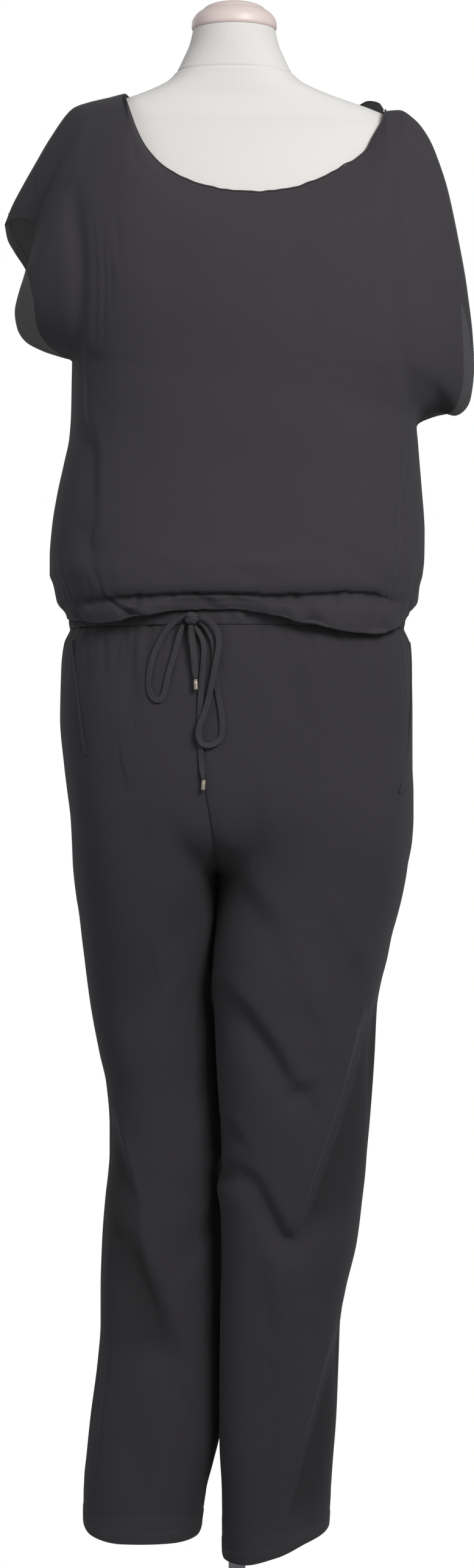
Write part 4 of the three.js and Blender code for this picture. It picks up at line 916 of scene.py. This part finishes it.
# %% Lines of the drawstring
LINES = {
    "bow loop left": [
        [-56.2, 8.2, 1088], [-66.7, 6.5, 1080.2], [-77.5, 4, 1066.3], [-85.4, 2.8, 1049.4],
        [-89.5, 2.4, 1033.8], [-91, 2.2, 1018], [-87.5, 2.2, 1006], [-81.1, 2.2, 1002],
        [-75.5, 2.2, 1007], [-71.4, 2.4, 1025], [-66.8, 2.6, 1041.5], [-62.5, 2.8, 1056],
        [-59.5, 3.4, 1068], [-55.4, 4.6, 1080]],
    "bow loop right": [
        [-37.9, 8.6, 1088.4], [-26.2, 9, 1081.8], [-19.9, 8, 1071.2], [-18.7, 7.5, 1058.6],
        [-21.2, 7, 1043], [-24.3, 6.5, 1027.4], [-28, 6, 1008.8], [-33, 6, 990.1], [-38.2, 6, 976.4],
        [-39.9, 5.9, 967], [-37.4, 5.8, 959], [-31.2, 4.6, 955.3], [-23.1, 2.8, 957.1], [-16.8, 2.2, 963],
        [-15, 2.2, 973.4], [-16.2, 2.2, 989], [-18.7, 2.2, 1003.9], [-21.8, 2.2, 1019.6],
        [-23.1, 2.4, 1033.9], [-23.1, 2.6, 1050.7], [-25, 3, 1064], [-31, 3.6, 1076],
        [-38.1, 4.6, 1082.4]],
    "tie end short": [
        [-47.6, 7.8, 1078.8], [-46.2, 7, 1066], [-44.6, 6, 1052], [-43.4, 5.4, 1038],
        [-42.2, 5.4, 1023.6]],
    "tie end long": [
        [-43.6, 4.2, 1078.4], [-36.6, 3.2, 1067], [-34, 2.4, 1056], [-34.3, 2.2, 1043.3],
        [-36.2, 2.2, 1024], [-37.6, 2.2, 1000], [-38.1, 2.2, 976], [-37.6, 2.2, 952], [-36, 2.4, 935],
        [-35, 3, 920.6]]}
HIPS = {side: leg(side, True, np.linspace(0, 1, 200), np.linspace(0, 1, 200)) for side in (-1, 1)}


def on_trousers(x, lift, z):
    """The point at x, z that lies `lift` in front of the trousers."""
    row = int(round(np.clip((LEG_TOP - z) / (LEG_TOP - FORK_TOP), 0, 1) * 199))
    side = -1 if x < HIPS[-1][row, 0, 0] else 1
    line = HIPS[side][row]
    order = np.argsort(line[:, 0])
    return np.array([x, np.interp(x, line[order, 0], line[order, 1]) - lift, z])


def through(points, gap):
    """Points every `gap` along a rounded line through the given ones."""
    p = np.array(points, float)
    p = np.concatenate([[2 * p[0] - p[1]], p, [2 * p[-1] - p[-2]]])
    out = []
    for i in range(1, len(p) - 2):
        t = np.linspace(0, 1, 40, endpoint=False)[:, None]
        a, b, c, d = p[i - 1], p[i], p[i + 1], p[i + 2]
        out.append(0.5 * (2 * b + (c - a) * t + (2 * a - 5 * b + 4 * c - d) * t * t
                          + (3 * b - a - 3 * c + d) * t ** 3))
    q = np.concatenate([*out, [p[-2]]])
    s = np.concatenate([[0], np.cumsum(np.linalg.norm(np.diff(q, axis=0), axis=1))])
    at = np.linspace(0, s[-1], max(2, int(round(s[-1] / gap)) + 1))
    return np.stack([np.interp(at, s, q[:, k]) for k in range(3)], -1), s[-1]


RIBS = 4  # ribs across the drawstring


def tube(name, path, broad, thin, turn, material, sides, ribs=0.0, flat=1.0):
    """A flat tube round a path; turn is the angle of its broad side at each point. ribs is how deep the ribs
    along it are, and flat below 1 squares its thin sides."""
    along = np.gradient(path, axis=0)
    along /= np.linalg.norm(along, axis=1, keepdims=True)
    across = np.cross(along, [0.0, 1.0, 0.0])
    across /= np.maximum(np.linalg.norm(across, axis=1, keepdims=True), 1e-9)
    depth = np.cross(across, along)
    a = np.linspace(0, 2 * np.pi, sides, endpoint=False)[None, :, None]
    ca, sa = np.cos(turn)[:, None, None], np.sin(turn)[:, None, None]
    wide = np.sign(np.cos(a)) * np.abs(np.cos(a)) ** 0.8 * np.reshape(broad, (-1, 1, 1)) / 2
    tall = np.sign(np.sin(a)) * np.abs(np.sin(a)) ** flat * np.reshape(thin, (-1, 1, 1)) / 2
    tall = tall * (1 + ribs * np.cos(2 * np.pi * RIBS * wide / np.reshape(broad, (-1, 1, 1))))
    P = path[:, None] + across[:, None] * (wide * ca - tall * sa) + depth[:, None] * (wide * sa + tall * ca)
    n = len(path)
    ids = closed(n, sides)
    quads = [faces(ids)]
    verts, base = [P.reshape(-1, 3)], n * sides
    for j, flip in ((0, True), (n - 1, False)):
        verts.append(path[j] + (P[j] - path[j]) * 0.05)
        i = np.arange(sides)
        q = np.stack([ids[j, :-1], ids[j, 1:], base + np.roll(i, -1), base + i], -1)
        quads.append(q[:, ::-1] if flip else q)
        base += sides
    return make(name, np.concatenate(verts), np.concatenate(quads), material)


print("lines of the drawstring", len(LINES))

# %% [markdown]
# ## The metal tips
# A tip is a short turned tube, crimped on to the end of the cord, with a shallow groove below its rim.

# %% Tips
TIPS = {"tie tip short": (-42.3, 5.6, 1017.7, -0.05), "tie tip long": (-34.5, 3, 914.7, 0.07)}
# place along the tip and half its width there
TIP = np.array([[5.3, 2.0], [5.25, 2.2], [5.0, 2.3], [4.6, 2.3], [3.9, 2.3], [3.7, 2.16], [3.3, 2.3],
                [0, 2.3], [-3.6, 2.3], [-4.6, 2.3], [-5.1, 2.15], [-5.3, 1.7]])
for name, (x, lift, z, lean) in TIPS.items():
    middle, way = on_trousers(x, lift, z), np.array([np.sin(lean), 0, np.cos(lean)])
    at, wide = TIP[:, 0], 2 * TIP[:, 1]
    tip = tube(name, middle + at[:, None] * way, wide, wide / 1.25, 0 * at, NICKEL, 28)
    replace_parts(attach(tip, "root"), name.replace(" ", "_"))
    print(name, [round(v, 4) for v in tip.dimensions])

# %% [markdown]
# ## The loops and the ends
# Every line is rounded into a path and becomes a ribbed tube that narrows where it goes into the knot or a
# tip.

# %% Loops and ends
ENDS = {"tie end short": "tie tip short", "tie end long": "tie tip long"}
for name, line in LINES.items():
    path, length = through([on_trousers(*p) for p in line], 1.6)
    rng = np.random.default_rng(len(line))
    s = np.linspace(0, 1, len(path))
    from_knot, to_end = s * length, (1 - s) * length
    turn = sum(rng.uniform(0.1, 0.3) * np.sin(2 * np.pi * k * s + rng.uniform(0, 6.3)) for k in (1, 2, 3))
    turn = 0.7 * turn * smooth(0, 12, from_knot)
    narrow, over = (0.45, 5) if name in ENDS else (0.35, 7)
    broad = 6.8 if name == "tie end short" else 5.8
    broad = broad * (1 - 0.35 * np.exp(-(from_knot / 7) ** 2)) * (1 - narrow * np.exp(-(to_end / over) ** 2))
    o = tube(name, path, broad, 1.7, turn, TIE, 48, ribs=0.16, flat=0.4)
    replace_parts(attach(o, "root"), name.replace(" ", "_"))
    end = ENDS.get(name)
    print(name, round(length), "mm")

# %% [markdown]
# ## The knot
# The knot is a small lump with two slanting grooves, where one turn of the tube lies over the next.

# %% Knot
k, a = np.linspace(-1, 1, 48)[:, None], np.linspace(0, 2 * np.pi, 64, endpoint=False)[None, :]
swell, lump = np.sqrt(1 - (0.999 * k) ** 2), 1 + 0.05 * np.sin(3 * a + 4 * k)
groove = 1 - 0.13 * np.exp(-((k - 0.3 * np.cos(a) - 0.1) / 0.14) ** 2)
groove = groove - 0.1 * np.exp(-((k + 0.45 + 0.2 * np.sin(a)) / 0.12) ** 2)
kx, ky = 7.5 * swell * np.cos(a) * lump * groove, 5.4 * swell * np.sin(a) * lump * groove
kz = 6.7 * k * (groove + 0 * a)
spot, tilt = on_trousers(-46.6, 7.1, 1086), 0.25
across, upward = kx * np.cos(tilt) + kz * np.sin(tilt), kz * np.cos(tilt) - kx * np.sin(tilt)
K = np.stack([spot[0] + across, spot[1] + ky, spot[2] + upward], -1)
knot = make("tie knot", K.reshape(-1, 3), faces(closed(48, 64)), TIE)
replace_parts(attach(knot, "root"), "tie_knot")
print("knot", [round(v, 4) for v in knot.dimensions])

# %% [markdown]
# ## The pocket edges
# The mouth of each side pocket is a narrow folded edge that stands a little off the leg, with a row of
# stitches beside it. Its line is a table of places on the front panel, so that it follows the leg's form.

# %% Pockets
# row and column of the front panel
POCKETS = {-1: [[0.1, 0.68], [0.367, 0.607], [0.577, 0.574], [0.835, 0.55], [1, 0.535]],
           1: [[0.1, 0.93], [0.166, 0.92], [0.783, 0.83], [1, 0.79], [1.12, 0.76], [1.3, 0.71]]}
lines = {"trousers": [], "bodice": []}


def at_places(side, u, v, lift):
    """Points on the front panel of a leg, lifted off it."""
    e, P = 1e-3, []
    for a, b in zip(np.ravel(u), np.ravel(v)):
        q = leg(side, True, np.array([a - e, a, a + e]), np.array([b - e, b, b + e]))
        n = np.cross(q[1, 2] - q[1, 0], q[2, 1] - q[0, 1]) * -side
        P.append(q[1, 1] + n / np.linalg.norm(n) * lift)
    return np.array(P).reshape(*np.shape(u), 3)


for side, line in POCKETS.items():
    name = f"pocket edge {'left' if side < 0 else 'right'}"
    w, v = np.meshgrid(np.linspace(0, 1, 7), np.linspace(line[0][0], line[-1][0], 60))
    u = curve(line, 1)(v)
    P = at_places(side, u - 0.018 * w, v, 0.3)
    P += (at_places(side, u - 0.018 * w, v, 0.75) - P) * np.sin(np.pi * w)[..., None]
    o, areas[name] = shell(name, P, -side, CREPE, thick=0.5)
    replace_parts(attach(o, "root"), name.replace(" ", "_"))
    lines["trousers"].append(at_places(side, u[:, 0] - 0.026, v[:, 0], 0.25))
    print(name, round(areas[name], 4), "m2")

# %% [markdown]
# ## The binding of the neck
# The neckline is bound with a thin rolled strip that follows the cut edge of each panel and waves
# slightly, as a bias strip does when it is sewn on a curve.

# %% Neck binding
for front, name in ((True, "bodice front"), (False, "bodice back")):
    P, c, r = panels[name]
    at = np.linspace(0.265, 0.785, 260)
    rim = np.stack([np.interp(at, c, P[0, :, k]) for k in range(3)], -1)
    inside = np.stack([np.interp(at, c, P[2, :, k]) for k in range(3)], -1)
    rng = np.random.default_rng(3 + front)
    wave = sum(
        rng.uniform(0.1, 0.25) * np.sin(2 * np.pi * k * at + rng.uniform(0, 6.3)) for k in (17, 29, 43))
    wave *= 1 + 1.1 * hill(0.62, 0.7, 0.76, 0.785, at)
    away = (rim - inside) / np.linalg.norm(rim - inside, axis=1, keepdims=True)
    rim = rim + [0, 0, 0.1] + away * (0.5 + wave)[:, None]
    rim[:, 1] = np.minimum(rim[:, 1], -1.4) if front else np.maximum(rim[:, 1], 1.4)
    path, length = through(rim, 1.5)
    band = tube(f"neck binding {name[7:]}", path, 2.6, 1.9, 0 * path[:, 0] + 1.2, TIE, 12)
    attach(band, "root")
    print(name, "binding", round(length), "mm")

# %% [markdown]
# ## The stitching
# Hems and pockets are held by rows of machine stitches. Their lines are found at the same distance from
# each edge, and a node group then lays one short thread after another along them.

# %% Lines of the stitching
for name, (P, _, rows) in panels.items():
    if name.startswith("trouser"):
        up = P[..., 2] - P[-1, :, 2]
        lines["trousers"].append(np.array([
            [np.interp(-STITCHED, -up[:, j], P[:, j, k]) for k in range(3)] for j in range(P.shape[1])]))
    else:
        for order in (slice(None), slice(None, None, -1)):
            Q = P[rows < 9.6][:, order]
            S = np.cumsum(np.linalg.norm(np.diff(Q, axis=1, prepend=Q[:, :1]), axis=2), axis=1)
            lines["bodice"].append(np.array([
                [np.interp(STITCHED, S[i], Q[i, :, k]) for k in range(3)] for i in range(len(Q))]))
print("lines", {k: len(v) for k, v in lines.items()})

# %% Stitches
g = bpy.data.node_groups.new("machine stitches", "GeometryNodeTree")
g.interface.new_socket("Line", in_out="INPUT", socket_type="NodeSocketGeometry")
inputs = {n: g.interface.new_socket(n, in_out="INPUT", socket_type="NodeSocketFloat").identifier
          for n in ("Spacing", "Length", "Radius")}
g.interface.new_socket("Stitches", in_out="OUTPUT", socket_type="NodeSocketGeometry")
start, end = g.nodes.new("NodeGroupInput"), g.nodes.new("NodeGroupOutput")
as_curve, points = g.nodes.new("GeometryNodeMeshToCurve"), g.nodes.new("GeometryNodeCurveToPoints")
points.mode = "LENGTH"
one, place = g.nodes.new("GeometryNodeMeshCylinder"), g.nodes.new("GeometryNodeInstanceOnPoints")
one.inputs["Vertices"].default_value = 6
real, paint = g.nodes.new("GeometryNodeRealizeInstances"), g.nodes.new("GeometryNodeSetMaterial")
paint.inputs["Material"].default_value = THREAD
g.links.new(start.outputs["Line"], as_curve.inputs[0])
g.links.new(as_curve.outputs[0], points.inputs["Curve"])
g.links.new(start.outputs["Spacing"], points.inputs["Length"])
g.links.new(start.outputs["Radius"], one.inputs["Radius"])
g.links.new(start.outputs["Length"], one.inputs["Depth"])
g.links.new(points.outputs["Points"], place.inputs["Points"])
g.links.new(points.outputs["Rotation"], place.inputs["Rotation"])
g.links.new(one.outputs["Mesh"], place.inputs["Instance"])
g.links.new(place.outputs[0], real.inputs[0])
g.links.new(real.outputs[0], paint.inputs[0])
g.links.new(paint.outputs[0], end.inputs[0])
for name, rows in lines.items():
    verts = np.concatenate(rows) * MM
    edges, base = [], 0
    for row in rows:
        edges += [(base + i, base + i + 1) for i in range(len(row) - 1)]
        base += len(row)
    me = bpy.data.meshes.new(f"{name} line")
    me.from_pydata(verts.tolist(), edges, [])
    o = bpy.data.objects.new(f"{name} line", me)
    bpy.context.scene.collection.objects.link(o)
    mod = o.modifiers.new("stitches", "NODES")
    mod.node_group = g
    for label, value in (("Spacing", 0.0031), ("Length", 0.0023), ("Radius", 0.00024)):
        mod[inputs[label]] = value
    bpy.context.view_layer.update()
    done = bpy.data.meshes.new_from_object(o.evaluated_get(bpy.context.evaluated_depsgraph_get()))
    o.modifiers.remove(mod)
    o.data = done
    o.name = f"{name}-stitches"
    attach(o, "root")
    print(o.name, len(done.polygons), "faces")

# %% [markdown]
# ## What each sheet was cut from
# Each sheet of cloth is listed with its flat size before it was sewn, and its measured area is printed beside
# the area of its cut. A panel's cut is as wide and as long as the straight box round it on the table, and its
# area is the share of that box that the pattern piece fills. The gathers under the casing take up the cloth
# that the waist doesn't need.

# %% Sheets
CUTS = {  # width and length in metres, share of that box, how it's held and what it rests on
    "bodice front": (0.70, 0.66, 0.70, "draped", ["form-torso"]),
    "bodice back": (0.70, 0.64, 0.73, "draped", ["form-torso"]),
    "waist casing": (1.16, 0.019, 1.0, "gathered", ["form-torso"]),
    "trouser front left": (0.31, 1.02, 0.74, "hung", ["waist-casing"]),
    "trouser front right": (0.32, 1.04, 0.79, "hung", ["waist-casing"]),
    "trouser back left": (0.34, 1.02, 0.71, "hung", ["waist-casing"]),
    "trouser back right": (0.35, 1.04, 0.71, "hung", ["waist-casing"]),
    "pocket edge left": (0.010, 0.13, 0.5, "folded", ["trouser-front-left"]),
    "pocket edge right": (0.010, 0.17, 0.5, "folded", ["trouser-front-right"])}
for name, (wide, long, share, held, under) in CUTS.items():
    o = bpy.data.objects[name.replace(" ", "-")]
    print(name, "measured", round(areas[name], 4), "cut", round(share * wide * long, 4))

# %% [markdown]
# ## Floor, light and camera
# The floor fades into the pale ground. A light from the upper right models the folds and falls off toward
# the hems, a weaker one fills from the left, and one from behind lifts the edges of the dark cloth.

# %% Stage
bpy.ops.mesh.primitive_circle_add(vertices=96, radius=1.4, fill_type="NGON", location=(0, 0, -0.0004))
floor = bpy.context.object
floor.name = "floor"
m = bpy.data.materials.new("floor")
m.use_nodes = True
p = m.node_tree.nodes["Principled BSDF"]
p.inputs["Base Color"].default_value = (0.8, 0.8, 0.8, 1)
p.inputs["Roughness"].default_value = 0.9
where, far, fade = (m.node_tree.nodes.new(n) for n in (
    "ShaderNodeTexCoord", "ShaderNodeVectorMath", "ShaderNodeMapRange"))
far.operation = "LENGTH"
fade.interpolation_type = "SMOOTHSTEP"
for socket, value in (("From Min", 0.17), ("From Max", 0.32), ("To Min", 1), ("To Max", 0)):
    fade.inputs[socket].default_value = value
m.node_tree.links.new(where.outputs["Object"], far.inputs[0])
m.node_tree.links.new(far.outputs["Value"], fade.inputs["Value"])
m.node_tree.links.new(fade.outputs["Result"], p.inputs["Alpha"])
floor.data.materials.append(m)
print("floor", round(floor.dimensions.x, 2), "m across")

# %% World
world = bpy.data.worlds.new("studio")
bpy.context.scene.world = world
world.use_nodes = True
t = world.node_tree
t.nodes.clear()
seen, lit, path, both, out = (t.nodes.new(n) for n in ("ShaderNodeBackground", "ShaderNodeBackground",
                                                      "ShaderNodeLightPath", "ShaderNodeMixShader",
                                                      "ShaderNodeOutputWorld"))
seen.inputs[0].default_value = (1, 1, 1, 1)
lit.inputs[0].default_value = (0.95, 0.97, 1, 1)
lit.inputs[1].default_value = 0.42
t.links.new(path.outputs["Is Camera Ray"], both.inputs[0])
t.links.new(lit.outputs[0], both.inputs[1])
t.links.new(seen.outputs[0], both.inputs[2])
t.links.new(both.outputs[0], out.inputs[0])
print("world", world.name)

# %% Lights
LIGHTS = [  # name, x, y, z, size, watts
    ["key", 1.2, -2.1, 2.4, 1.0, 72],
    ["fill", -2.3, -2.2, 2.4, 1.8, 18],
    ["rim", -1.6, 2.4, 2.4, 1.6, 10]]
for name, x, y, z, size, watts in LIGHTS:
    light = bpy.data.lights.new(name, "AREA")
    light.size, light.energy = size, watts
    o = bpy.data.objects.new(name, light)
    bpy.context.scene.collection.objects.link(o)
    o.location = (x, y, z)
    o.rotation_euler = (Vector((0, 0, 1.4)) - o.location).to_track_quat("-Z", "Y").to_euler()
print("lights", len(LIGHTS))

# %% Camera
cam = bpy.data.cameras.new("camera")
cam.lens, cam.sensor_width, cam.sensor_fit = 77.4, 36, "AUTO"
cam.clip_end = 50
o = bpy.data.objects.new("camera", cam)
bpy.context.scene.collection.objects.link(o)
o.location, o.rotation_euler = (0, -3.6, 0.9158), (np.pi / 2, 0, 0)
bpy.context.scene.camera = o
bpy.context.scene.view_settings.view_transform = "Standard"
print("camera at", [round(v, 3) for v in o.location], "lens", cam.lens)
